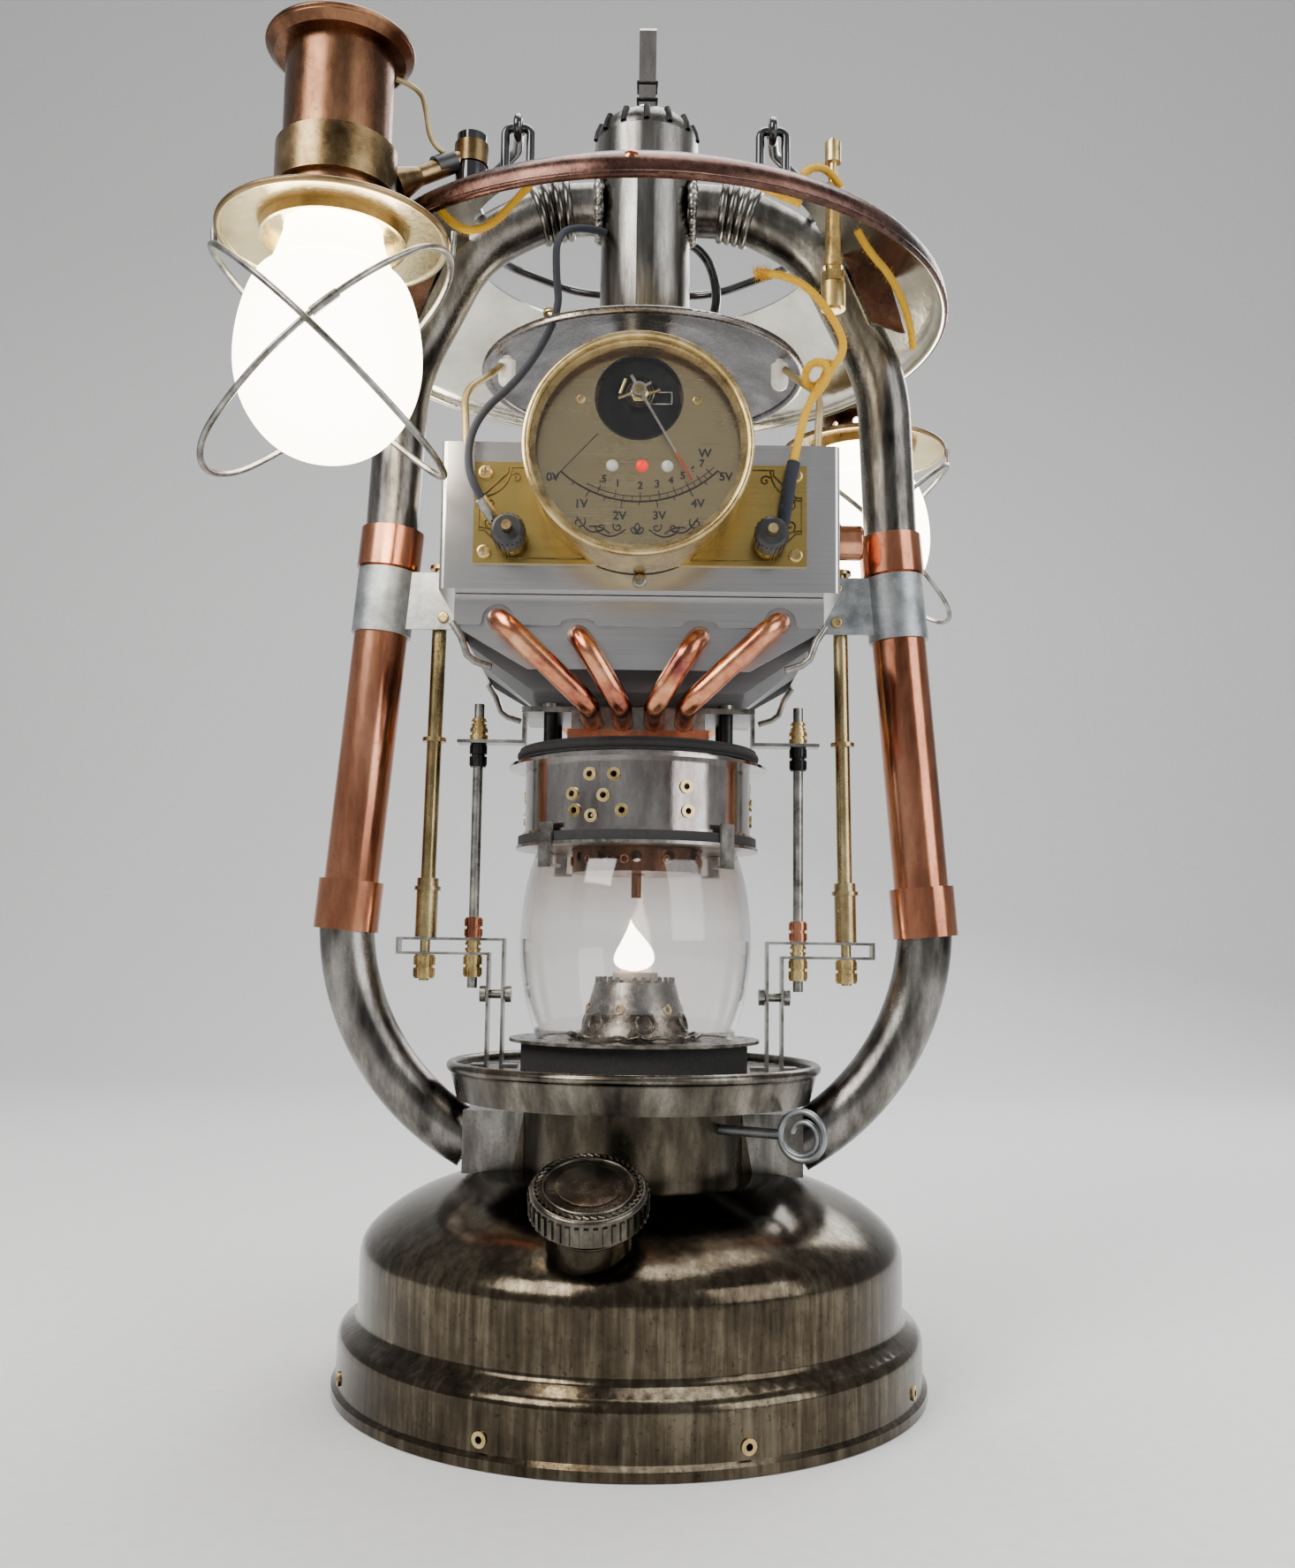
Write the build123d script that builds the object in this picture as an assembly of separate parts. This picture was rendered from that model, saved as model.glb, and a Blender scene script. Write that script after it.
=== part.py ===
from build123d import *
import math
import os

# A lantern turned into a thermoelectric lamp: an oil flame heats a module, and two electric
# lamps on swing arms are lit by it. Millimetres. X right, Y back, Z up.
# The origin is the centre of the foot, on the surface that the lamp stands on.

# Clearances and common fits
SEAT_GAP = 0.05          # two pieces of one group that seat in each other
RUN_GAP = 0.08           # a shaft that turns in its bore, measured on the radius
LOOSE_GAP = 0.3          # moving pieces that pass each other

# Tank, foot and filler
TANK_WALL = 1.0
TANK_R = 76.7
SKIRT_R = TANK_R + 5.3
FOOT_R = SKIRT_R + 1.3
FOOT_LIP_H = 2.4
SKIRT_TOP_Z = 14.0
TANK_STEP_Z = SKIRT_TOP_Z + 7.4
TANK_SIDE_H = 14.2
TANK_SIDE_TOP_Z = TANK_STEP_Z + TANK_SIDE_H
SHOULDER_H = 22.4
TANK_TOP_Z = TANK_SIDE_TOP_Z + SHOULDER_H
BOTTOM_PAN_Z = 5.0
EYELET_COUNT = 8
EYELET_R = 1.9
EYELET_BORE_R = 0.9
EYELET_Z = 6.4
FILLER_TILT = 27.0       # degrees from upright, towards the front
FILLER_X = -10.0
FILLER_Y = 15.4 - TANK_R
FILLER_DROP = 12.5
FILLER_R = 10.6
FILLER_WALL = 1.4
FILLER_LENGTH = 17.0
FILLER_RIB_COUNT = 3
FILLER_RIB_PITCH = 1.6
FILLER_RIB_LOW = 10.2
CAP_R = 14.8
CAP_HEIGHT = 7.0
CAP_TOP_WALL = 1.6
CAP_TEETH = 40
SEAL_HEIGHT = 1.6

# Neck, tray and burner
NECK_R = 32.2
NECK_WALL = 1.2
NECK_H = 20.0
TRAY_FLOOR_Z = TANK_TOP_Z + NECK_H
TRAY_R = 53.0
TRAY_LOW_R = TRAY_R - 1.9
TRAY_RIM_Z = TRAY_FLOOR_Z + 10.7
TRAY_RIM_ROLL_R = 1.5
TRAY_WALL = 1.0
DECK_Z = TRAY_FLOOR_Z + 8.4
DECK_SLOTS = 36
PLATE_Z = DECK_Z + 7.8
PLATE_R = 36.5
PLATE_T = 0.9
STEM_R = 13.0
STEM_LOW_Z = TANK_TOP_Z + 1.5
CONE_LOW_R = 15.6
CONE_TOP_R = 11.2
CONE_TOP_Z = PLATE_Z + 18.7
CONE_WALL = 0.6
CONE_TEETH = 28
WICK_WIDTH = 14.0
WICK_T = 2.4
WICK_TOP_Z = CONE_TOP_Z + 1.3
WICK_TUBE_WALL = 0.8
RAISER_Z = TANK_TOP_Z + 13.6
RAISER_ANGLE = -30.0     # degrees from +X, seen from above
RAISER_SHAFT_R = 1.4
RAISER_REACH = 49.5
RAISER_RING_R = 6.4
RAISER_WIRE_R = 0.9
SPROCKET_R = 3.6
SPROCKET_TOOTH = 0.6

# Globe, fire drum and the thermoelectric stack
GLOBE_WALL = 1.5
GLOBE_FOOT_R = 28.7
GLOBE_BELLY_R = 34.0
GLOBE_BELLY_Z = PLATE_Z + 27.8
GLOBE_NECK_R = 29.4
GLOBE_HEIGHT = 55.4
GLOBE_TOP_Z = PLATE_Z + GLOBE_HEIGHT
FLANGE_R = 35.8
FLANGE_T = 0.9
GASKET_T = 2.8
DRUM_R = 33.4
DRUM_WALL = 0.9
DRUM_HEIGHT = 21.0
DRUM_FLANGE_R = DRUM_R + 4.8
CUP_R = 19.1
CUP_LOW_Z = GLOBE_TOP_Z - 6.8
LID_T = 1.2
MODULE_SIDE = 40.0
MODULE_T = 3.6
BLOCK_SIDE = MODULE_SIDE + 0.5
BLOCK_T = 4.0
PIPE_R = 3.0
PIPE_SINK = 0.4          # how far the pipes lie down into the base
PIPE_COVER = 0.15        # what the saddle leaves over the pipes
PIPE_LOW_X = (13.2, 4.5)
PIPE_BEND_R = 7.0
FIN_COUNT = 29
FIN_T = 0.5
FIN_LOW_HALF_W = 30.0
FIN_RIM_T = 0.8

# Levels of the stack, from the globe up to the casing
FLANGE_TOP_Z = GLOBE_TOP_Z + SEAT_GAP + FLANGE_T
DRUM_LOW_Z = FLANGE_TOP_Z + GASKET_T
DRUM_TOP_Z = DRUM_LOW_Z + DRUM_HEIGHT
MODULE_LOW_Z = DRUM_TOP_Z + LID_T
BLOCK_LOW_Z = MODULE_LOW_Z + MODULE_T
SADDLE_LOW_Z = BLOCK_LOW_Z + BLOCK_T
PIPE_LOW_Z = SADDLE_LOW_Z + PIPE_R - PIPE_SINK
BAR_Z = PIPE_LOW_Z + PIPE_R + PIPE_COVER
FIN_LOW_Z = BAR_Z + 2.7
FIN_EDGE_LOW_Z = FIN_LOW_Z + 4.4
FIN_BAND_LOW_Z = FIN_LOW_Z + 16.1
FIN_BAND_TOP_Z = FIN_BAND_LOW_Z + 8.3
PIPE_TOP_Z = (FIN_BAND_LOW_Z + 1.5, FIN_BAND_LOW_Z - 2.7)

# Casing, meter, terminals and switch
CASING_HALF_W = 54.0
CASING_HALF_D = 50.0
CASING_LOW_Z = FIN_BAND_TOP_Z + 0.2
CASING_HEIGHT = 40.8
CASING_TOP_Z = CASING_LOW_Z + CASING_HEIGHT
CASING_WALL = 1.0
FIN_HALF_W = CASING_HALF_W - 3.8
FIN_DEPTH = 2 * (CASING_HALF_D - 5.5)
PIPE_TOP_X = (FIN_HALF_W - 11.9, FIN_HALF_W - 33.6)
PIPE_FRONT_Y = CASING_HALF_D + 2.0
FACE_PLATE_HALF_W = CASING_HALF_W - 9.2
FACE_PLATE_LOW_Z = CASING_LOW_Z + 6.8
FACE_PLATE_TOP_Z = FACE_PLATE_LOW_Z + 28.0
FACE_PLATE_T = 1.0
METER_X = -0.6
METER_Z = CASING_LOW_Z + 33.0
METER_R = 28.6
METER_DEPTH = 21.5
METER_WALL = 0.8
BEZEL_R = METER_R + 1.0
BEZEL_T = 2.4
GLASS_T = 1.0
DIAL_T = 0.6
DIAL_DROP = 6.2
DIAL_LAMP_X = (-6.7, 1.0, 7.6)
DIAL_LAMP_Y = -4.2
DIAL_SCREW_X = 15.2
DIAL_SCREW_Y = 13.4
NEEDLE_PIN_R = 0.6
NEEDLE_PIVOT_UP = 15.6
NEEDLE_LENGTH = 27.6
NEEDLE_ANGLE = 30.0      # degrees from straight down, towards +X
WINDOW_UP = 14.2
WINDOW_R = METER_R - METER_WALL - WINDOW_UP - 2.2
VENT_R = 2.4             # the lead hole behind the meter
VENT_DROP = 16.0
POST_X = FACE_PLATE_HALF_W - 10.2
POST_Z = FACE_PLATE_LOW_Z + 6.4
POST_STUD_R = 1.3
POST_BASE_R = 3.6
POST_BASE_H = 3.0
POST_KNOB_R = 4.6
POST_KNOB_L = 7.6
SWITCH_Y = -10.0
SWITCH_Z = CASING_LOW_Z + 25.6
SWITCH_BOSS_H = 2.6
SWITCH_SHAFT_R = 3.0
SWITCH_KNOB_R = 5.2
SWITCH_KNOB_L = 9.0

# Side tubes, column, canopy and top
TUBE_R = 8.0
TUBE_WALL = 1.0
ELBOW_TOP_X = 77.3 + TUBE_R
ELBOW_TOP_Z = TANK_TOP_Z + 63.0 + TUBE_R
ELBOW_R = 64.5 + TUBE_R
ELBOW_END_X = 47.0
SOCKET_OUT_X = ELBOW_END_X + 1.5
SOCKET_HALF_D = TUBE_R + 0.8
SOCKET_TOP_Z = TANK_TOP_Z + 16.6
SLEEVE_TOP_X = 68.2 + TUBE_R
SLEEVE_TOP_Z = CASING_LOW_Z + 23.8
ARCH_POINTS = (
    (SLEEVE_TOP_X, SLEEVE_TOP_Z + 0.3),
    (SLEEVE_TOP_X - 2.2, SLEEVE_TOP_Z + 56.0),
    (SLEEVE_TOP_X - 22.2, SLEEVE_TOP_Z + 98.0),
    (SLEEVE_TOP_X - 46.2, SLEEVE_TOP_Z + 110.6),
)
ARCH_RADII = (60.0, 40.0)
ARCH_IN_X = 13.2
RIB_COUNT = 4
RIB_PITCH = 3.0
RIB_IN_LENGTH = 11.0     # along the tube, from its inner end to the first rib
RIB_R = 1.3
COLLAR_R = TUBE_R + 1.5
COLLAR_LOW = (ELBOW_TOP_Z - 3.6, ELBOW_TOP_Z + 11.0)
COLLAR_HIGH = (SLEEVE_TOP_Z - 5.4, SLEEVE_TOP_Z + 6.7)
BAND_LOW_Z = CASING_LOW_Z - 1.8
BAND_TOP_Z = BAND_LOW_Z + 19.6
BAND_T = 0.9
BAND_TAB_Y = -3.6
COLUMN_R = 13.9
COLUMN_WALL = 1.4
COLUMN_LOW_R = 9.0
COLUMN_TOP_Z = CASING_TOP_Z + 103.4
CROWN_R = COLUMN_R + 2.3
CROWN_SHOULDER_Z = COLUMN_TOP_Z + 11.1
CROWN_TOP_Z = CROWN_SHOULDER_Z + 11.5
CROWN_WALL = 1.2
HOOK_WIDTH = 5.4
HOOK_T = 1.8
HOOK_TOP_Z = CROWN_TOP_Z + 29.0
CANOPY_R = 92.0
CANOPY_LIP_Z = CASING_TOP_Z + 54.0
CANOPY_HOLE_R = 55.5
CANOPY_TOP_Z = CANOPY_LIP_Z + 27.2
CANOPY_TAB_T = 0.9
CANOPY_TAB_CORNERS = ((60.5, 22.0), (74.5, 15.0), (79.5, -3.2), (69.0, 0.5))  # x, and height above the lip
CANOPY_WALL = 1.1
STEEL_CAP_R = 48.9
STEEL_CAP_RIM_Z = CASING_TOP_Z + 39.4
STEEL_CAP_TOP_Z = STEEL_CAP_RIM_Z + 9.6
STEEL_CAP_WALL = 0.9
CAP_LIGHT_X = 41.0
CAP_LIGHT_Y = -12.0
CAP_LIGHT_R = 2.6
CAP_LIGHT_STEM_R = 1.2
EAR_X = 35.0
EAR_Y = -55.0
EAR_TOP_Z = CANOPY_TOP_Z + 6.4
EAR_SPAN = 7.0
EAR_WIRE_R = 1.2
BAIL_WIRE_R = 1.45
BAIL_HALF_W = 53.0
BAIL_REACH = 128.0
BAIL_RISE = 6.0          # degrees above level where the bail rests
TERMINAL_X = 53.5
TERMINAL_Y = -40.0
TERMINAL_LOW_Z = CANOPY_LIP_Z - 11.0
TERMINAL_R = 2.2
BAND_SCREW_X = CASING_HALF_W + 5.0

# Struts, their brackets and the clamp bar
OUTER_STRUT_TOP_X = CASING_HALF_W + 6.4
OUTER_STRUT_LOW_X = OUTER_STRUT_TOP_X + 1.8
OUTER_STRUT_TOP_Z = BAND_TOP_Z + 2.0
INNER_STRUT_X = 47.9
ROD_R = 1.5
OUTER_TUBE_R = 2.2
OUTER_SLEEVE_R = 3.2
ARM_Z = BAR_Z - 7.5
INNER_STRUT_TOP_Z = ARM_Z + 12.0
STRAP_T = 0.8
STRAP_WIDTH = 6.0
STRAP_TOP_Z = TRAY_RIM_Z + 34.1
STRAP_LOW_Z = STRAP_TOP_Z - 4.2
STRUT_LOW_Z = STRAP_LOW_Z - 7.6
STRAP_OUT_X = OUTER_STRUT_LOW_X + 7.2
STRAP_IN_X = 40.0
BOLT_X = STRAP_IN_X + 0.9
BOLT_Z = STRAP_LOW_Z - 11.3
BOLT_R = 1.3
BAR_T = 1.6
BAR_HALF_W = 33.8
ARM_OUT_X = INNER_STRUT_X + 6.1
PILLAR_X = 25.6
PILLAR_Y = 12.0
PILLAR_R = 2.0
PILLAR_PIN_R = 1.2

# Swing lamps. The right lamp is the left one turned half round the column.
LAMP_SOCKET_R = 13.9
LAMP_SOCKET_WALL = 1.2
PIVOT = (-47.0, -60.0)
ARM_REACH = LAMP_SOCKET_R + 22.548   # from the pivot to the lamp's axis
ARM_ANGLE = math.radians(206.917)
LAMP = (PIVOT[0] + ARM_REACH * math.cos(ARM_ANGLE), PIVOT[1] + ARM_REACH * math.sin(ARM_ANGLE))
STUD_R = 2.2
ARM_EYE_R = 4.6
ARM_EYE_LOW_Z = CANOPY_LIP_Z + 19.2
ARM_EYE_TOP_Z = ARM_EYE_LOW_Z + 6.0
STUD_TOP_Z = ARM_EYE_TOP_Z + 1.4
ARM_ROD_R = 2.6
ARM_FLARE_R = 5.2
ARM_FLARE_L = 7.0
STRAP_RING_LOW_Z = CANOPY_LIP_Z + 1.0
STRAP_RING_TOP_Z = STRAP_RING_LOW_Z + 12.0
STRAP_RING_T = 1.6
LAMP_SOCKET_LOW_Z = STRAP_RING_LOW_Z - 8.6
HAT_Z = STRAP_RING_TOP_Z + 25.6
HAT_R = LAMP_SOCKET_R + 4.9
SHADE_R = 29.1
SHADE_RIM_Z = LAMP_SOCKET_LOW_Z - 2.8
SHADE_WALL = 0.9
BULB_R = 23.5
BULB_Z = SHADE_RIM_Z - 34.6
BULB_LOW_Z = BULB_Z - 24.0
BULB_NECK_R = LAMP_SOCKET_R - LAMP_SOCKET_WALL - LOOSE_GAP
BULB_TOP_Z = LAMP_SOCKET_LOW_Z + 14.6
BULB_WALL = 1.1
HOOP_WIRE_R = 0.85
HOOP_LONG_R = 41.0
HOOP_SHORT_R = 27.6
HOOP_END_R = 20.0
HOOP_TILT = 43.0
HOOP_Z = BULB_Z + 1.5

# Leads: the points of their paths, from one end to the other
LEAD_R = 1.1
CABLE_R = 1.5
BLACK_LEAD_POINTS = (
    (-12.12, -7.0, 340.0),
    (-19.4, -11.2, 340.0),
    (-26.0, -25.0, 330.0),
    (-25.4, -33.0, 314.0),
    (-23.6, -38.0, 299.5),
    (-32.3, -48.0, 277.0),
    (-44.9, -52.6, 263.0),
    (-46.8, -55.0, 249.4),
    (-43.0, -57.0, 239.6),
    (-37.9, -52.7, 232.8),
)
YELLOW_LEAD_POINTS = (
    (34.7, -48.0, 307.0),
    (42.6, -50.5, 305.0),
    (51.2, -52.0, 294.0),
    (55.8, -52.0, 284.0),
    (50.6, -50.5, 277.5),
    (45.0, -48.6, 268.5),
    (42.5, -52.6, 258.0),
    (39.8, -55.4, 246.0),
    (37.9, -52.7, 232.8),
)
CAP_LEAD_POINTS = (
    (42.3, -15.4, 293.2),
    (45.5, -20.0, 288.0),
    (51.5, -29.0, 280.0),
    (50.0, -32.0, 268.0),
    (50.0, -32.0, 257.05),
)
REAR_CABLE_POINTS = (
    (11.33, 8.23, 346.0),
    (19.4, 14.1, 346.0),
    (24.3, 17.6, 331.0),
    (19.4, 14.1, 316.0),
    (11.33, 8.23, 316.0),
)
LEFT_CANOPY_POINTS = (
    (-55.5, -56.0, 320.0),
    (-51.0, -55.0, 314.5),
    (-43.0, -51.0, 317.5),
    (-36.5, -47.5, 327.0),
    (-31.0, -46.5, 334.6),
)
RIGHT_CANOPY_POINTS = (
    (26.0, -51.5, 333.3),
    (33.5, -54.0, 328.3),
    (42.5, -55.8, 323.3),
)
SIDE_CANOPY_POINTS = (
    (60.6, -38.0, 325.4),
    (64.0, -35.0, 321.0),
    (73.0, -24.0, 318.5),
    (80.5, -13.0, 310.0),
    (81.5, -11.0, 302.0),
)
LEADS = (
    (BLACK_LEAD_POINTS, LEAD_R),
    (YELLOW_LEAD_POINTS, LEAD_R),
    (CAP_LEAD_POINTS, LEAD_R),
    (tuple((-x, y, z) for x, y, z in CAP_LEAD_POINTS), LEAD_R),
    (REAR_CABLE_POINTS, CABLE_R),
    (LEFT_CANOPY_POINTS, LEAD_R),
    (RIGHT_CANOPY_POINTS, LEAD_R),
    (SIDE_CANOPY_POINTS, LEAD_R),
)


# Shared shapes
def ring(outer, inner, low, high):
    """A plain tube about Z."""
    tube = Cylinder(outer, high - low, align=(Align.CENTER, Align.CENTER, Align.MIN))
    bore = Cylinder(inner, high - low, align=(Align.CENTER, Align.CENTER, Align.MIN))
    return Pos(0, 0, low) * (tube - bore)


def disc(radius, low, high):
    """A plain cylinder about Z."""
    return Pos(0, 0, low) * Cylinder(radius, high - low, align=(Align.CENTER, Align.CENTER, Align.MIN))


def block(x, y, z):
    """A box between pairs of limits."""
    body = Box(x[1] - x[0], y[1] - y[0], z[1] - z[0])
    return Pos((x[0] + x[1]) / 2, (y[0] + y[1]) / 2, (z[0] + z[1]) / 2) * body


def rod(start, end, radius):
    """A round rod from one point to another."""
    axis = Vector(*end) - Vector(*start)
    bar = Cylinder(radius, axis.length, align=(Align.CENTER, Align.CENTER, Align.MIN))
    return Plane(origin=start, z_dir=axis) * bar


def turned(*points):
    """A closed outline of straight edges in radius and height, turned round Z."""
    return revolve(Plane.XZ * make_face(Polyline(*points, close=True)), Axis.Z)


def turned_edges(*edges):
    """A closed outline of any edges in radius and height, turned round Z."""
    return revolve(Plane.XZ * make_face(Curve() + list(edges)), Axis.Z)


def wire_round(path, radius):
    """A round wire along a path."""
    return sweep(Plane(origin=path @ 0, z_dir=path % 0) * Circle(radius), path)


def torus(ring_r, wire_r, height):
    """A round ring about Z at one height."""
    return Pos(0, 0, height) * Torus(ring_r, wire_r)


def on_side(side, shape):
    """The shape itself on the right, or its mirror image on the left."""
    if side > 0:
        return shape
    return mirror(shape, Plane.YZ)


def half_turn(shape):
    """The same shape turned half round Z."""
    return Rot(0, 0, 180) * shape


def group(*shapes):
    """Separate solids kept side by side as one piece of the lamp."""
    solids = []
    for shape in shapes:
        solids += list(shape.solids())
    return Compound(solids)


# Tank, filler and neck
def tank_outline(inset):
    """The tank's side and shoulder as one face, closed on the axis."""
    shoulder = Spline(
        (TANK_R - inset, TANK_SIDE_TOP_Z - inset),
        (TANK_R * 0.949 - inset, TANK_SIDE_TOP_Z + 8.2 - inset),
        (TANK_R * 0.774 - inset, TANK_SIDE_TOP_Z + 16.6 - inset),
        (TANK_R * 0.60 - inset, TANK_TOP_Z - 1.1 - inset),
        (NECK_R + 3.0, TANK_TOP_Z - inset),
        tangents=((0, 1), (-1, 0.02)),
    )
    foot = 0.0 if inset == 0 else -1.0
    lip_r = FOOT_R if inset == 0 else SKIRT_R - inset
    side = Polyline(
        (0, foot),
        (lip_r, foot),
        (lip_r, FOOT_LIP_H),
        (SKIRT_R - inset, FOOT_LIP_H + 1.0),
        (SKIRT_R - inset, SKIRT_TOP_Z - inset),
    )
    step = Spline(
        (SKIRT_R - inset, SKIRT_TOP_Z - inset),
        (SKIRT_R - 2.6 - inset, SKIRT_TOP_Z + 4.0 - inset),
        (TANK_R - inset, TANK_STEP_Z - inset),
        tangents=((0, 1), (0, 1)),
    )
    wall = Line((TANK_R - inset, TANK_STEP_Z - inset), (TANK_R - inset, TANK_SIDE_TOP_Z - inset))
    top = Polyline((NECK_R + 3.0, TANK_TOP_Z - inset), (0, TANK_TOP_Z - inset), (0, foot))
    return make_face(Curve() + [side, step, wall, shoulder, top])


def filler_place():
    """The filler's axis, from inside the shoulder up and out to the front."""
    return Pos(FILLER_X, FILLER_Y, TANK_TOP_Z - FILLER_DROP) * Rot(FILLER_TILT, 0, 0)


def tank_shell():
    outer = revolve(Plane.XZ * tank_outline(0.0), Axis.Z)
    inner = revolve(Plane.XZ * tank_outline(TANK_WALL), Axis.Z)
    shell = outer - inner
    shell -= disc(NECK_R - NECK_WALL, TANK_TOP_Z - 4, TANK_TOP_Z + 4)
    shell -= filler_place() * disc(FILLER_R + SEAT_GAP, -9, 20)
    for place in eyelet_places():
        shell -= place * Cylinder(EYELET_R - 0.6 + SEAT_GAP, 4)
    return shell


def eyelet_places():
    """Where the skirt's eyelets sit, each with Z pointing straight out of the skirt."""
    places = []
    for number in range(EYELET_COUNT):
        angle = 360 / EYELET_COUNT * (number + 0.45)
        places.append(Rot(0, 0, angle) * Pos(SKIRT_R - TANK_WALL / 2, 0, EYELET_Z) * Rot(0, 90, 0))
    return places


def eyelet(wall):
    """A brass eyelet through a wall, with a rolled head outside."""
    barrel = Cylinder(EYELET_R - 0.6, wall + 1.2)
    head = Pos(0, 0, wall / 2 + 0.3) * Cylinder(EYELET_R, 0.5)
    return barrel + head - Cylinder(EYELET_BORE_R, wall + 4)


def tank_bottom():
    rim_r = SKIRT_R - TANK_WALL - SEAT_GAP
    pan = disc(rim_r, BOTTOM_PAN_Z - 1.0, BOTTOM_PAN_Z)
    hem = ring(rim_r, rim_r - 0.9, 0.6, BOTTOM_PAN_Z - 1.0)
    return pan + hem


def filler_neck():
    neck = ring(FILLER_R, FILLER_R - FILLER_WALL, -6.0, FILLER_LENGTH)
    for number in range(FILLER_RIB_COUNT):
        neck += torus(FILLER_R, 0.5, FILLER_RIB_LOW + number * FILLER_RIB_PITCH)
    return filler_place() * neck


def filler_cap():
    low = FILLER_LENGTH + SEAL_HEIGHT + CAP_TOP_WALL + LOOSE_GAP - CAP_HEIGHT
    top = low + CAP_HEIGHT
    cap = disc(CAP_R - 0.5, low, top)
    cap = fillet(cap.edges().group_by(Axis.Z)[-1], 1.2)
    cap -= disc(FILLER_R + 0.5 + LOOSE_GAP, low - 1, top - CAP_TOP_WALL)
    tooth_w = math.pi * CAP_R / CAP_TEETH
    tooth = block((CAP_R - 1.2, CAP_R), (-tooth_w / 2, tooth_w / 2), (low + 0.4, top - 1.6))
    for number in range(CAP_TEETH):
        cap += Rot(0, 0, 360 / CAP_TEETH * number) * tooth
    cap += torus(CAP_R * 0.74, 0.5, top)
    return filler_place() * cap


def cap_seal():
    low = FILLER_LENGTH + LOOSE_GAP / 2
    return filler_place() * ring(FILLER_R, FILLER_R - FILLER_WALL - 1, low, low + SEAL_HEIGHT)


def neck_drum():
    drum = ring(NECK_R, NECK_R - NECK_WALL, TANK_TOP_Z, TRAY_FLOOR_Z)
    drum -= raiser_place() * disc(RAISER_SHAFT_R + RUN_GAP, 0, RAISER_REACH)
    sockets = []
    for side in (-1, 1):
        depth = (-SOCKET_HALF_D, SOCKET_HALF_D)
        socket = block((NECK_R - 2, SOCKET_OUT_X), depth, (TANK_TOP_Z - 0.9, SOCKET_TOP_Z))
        socket -= disc(NECK_R + SEAT_GAP, TANK_TOP_Z - 2, TRAY_FLOOR_Z)
        socket -= revolve(Plane.XZ * tank_outline(-SEAT_GAP), Axis.Z)
        socket -= elbow(TUBE_R + SEAT_GAP, 0)
        sockets.append(on_side(side, socket))
    return group(drum, *sockets)


def tray():
    wall_top = TRAY_RIM_Z - 0.4
    pan = turned(
        (NECK_R - NECK_WALL, TRAY_FLOOR_Z),
        (TRAY_LOW_R, TRAY_FLOOR_Z),
        (TRAY_R, TRAY_RIM_Z - 3.4),
        (TRAY_R, wall_top),
        (TRAY_R - TRAY_WALL, wall_top),
        (TRAY_R - TRAY_WALL, TRAY_RIM_Z - 3.4),
        (TRAY_LOW_R - TRAY_WALL, TRAY_FLOOR_Z + TRAY_WALL),
        (NECK_R - NECK_WALL, TRAY_FLOOR_Z + TRAY_WALL),
    )
    pan += torus(TRAY_R - 0.2, TRAY_RIM_ROLL_R, TRAY_RIM_Z - TRAY_RIM_ROLL_R)
    deck = ring(TRAY_R - 0.5, STEM_R + 3.0, DECK_Z - 0.9, DECK_Z)
    slot = block((PLATE_R + 2.0, TRAY_R - 5.0), (-0.8, 0.8), (DECK_Z - 2, DECK_Z + 1))
    for number in range(DECK_SLOTS):
        deck -= Rot(0, 0, 360 / DECK_SLOTS * (number + 0.5)) * slot
    return pan + deck


def fibre_gaskets():
    """Black fibre rings: under the burner plate, round the globe's neck and under the stack."""
    packing = ring(PLATE_R - 3.5, PLATE_R - 8.0, DECK_Z, PLATE_Z)
    lower = ring(FLANGE_R - 0.5, DRUM_R - 3.6, FLANGE_TOP_Z, DRUM_LOW_Z)
    upper = ring(DRUM_R + 1.8, BLOCK_SIDE / 2 * math.sqrt(2) + 0.6, MODULE_LOW_Z, BLOCK_LOW_Z)
    bead = torus(DRUM_R + 1.4, 1.2, MODULE_LOW_Z + MODULE_T / 2)
    return group(packing, lower, upper + bead)


def burner_base():
    """The plate with its draught holes, and the stem that hangs in the tank's neck."""
    plate = ring(PLATE_R, STEM_R + 0.4, PLATE_Z, PLATE_Z + PLATE_T)
    for number in range(24):
        angle = 15 * number
        plate -= Rot(0, 0, angle) * Pos(PLATE_R - 3.4, 0, PLATE_Z) * Cylinder(0.9, 6)
    stem = ring(STEM_R + 0.4, STEM_R - 0.6, STEM_LOW_Z, PLATE_Z + PLATE_T)
    stem -= raiser_place() * disc(RAISER_SHAFT_R + RUN_GAP, 0, RAISER_REACH)
    web_r = STEM_R - 0.6
    web = ring(web_r + 0.3, 1.0, PLATE_Z - 4.0, PLATE_Z - 3.2) - wick_space(WICK_TUBE_WALL - 0.2)
    guide_top = CONE_TOP_Z - 1.0
    guide = wick_guide(RAISER_Z + 7.0, guide_top)
    return plate + stem + web + guide


def wick_space(grow):
    """The flat space that the wick runs in, grown by a wall."""
    half_w = WICK_WIDTH / 2 + LOOSE_GAP + grow
    half_t = WICK_T / 2 + LOOSE_GAP + grow
    space = block((-half_w, half_w), (-half_t, half_t), (STEM_LOW_Z - 9, WICK_TOP_Z + 9))
    return Rot(0, 0, RAISER_ANGLE) * space


def wick_guide(low, high):
    """The flat tube that guides the wick."""
    half_w = WICK_WIDTH / 2 + LOOSE_GAP + WICK_TUBE_WALL
    half_t = WICK_T / 2 + LOOSE_GAP + WICK_TUBE_WALL
    tube = block((-half_w, half_w), (-half_t, half_t), (low, high))
    return Rot(0, 0, RAISER_ANGLE) * tube - wick_space(0)


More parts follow.
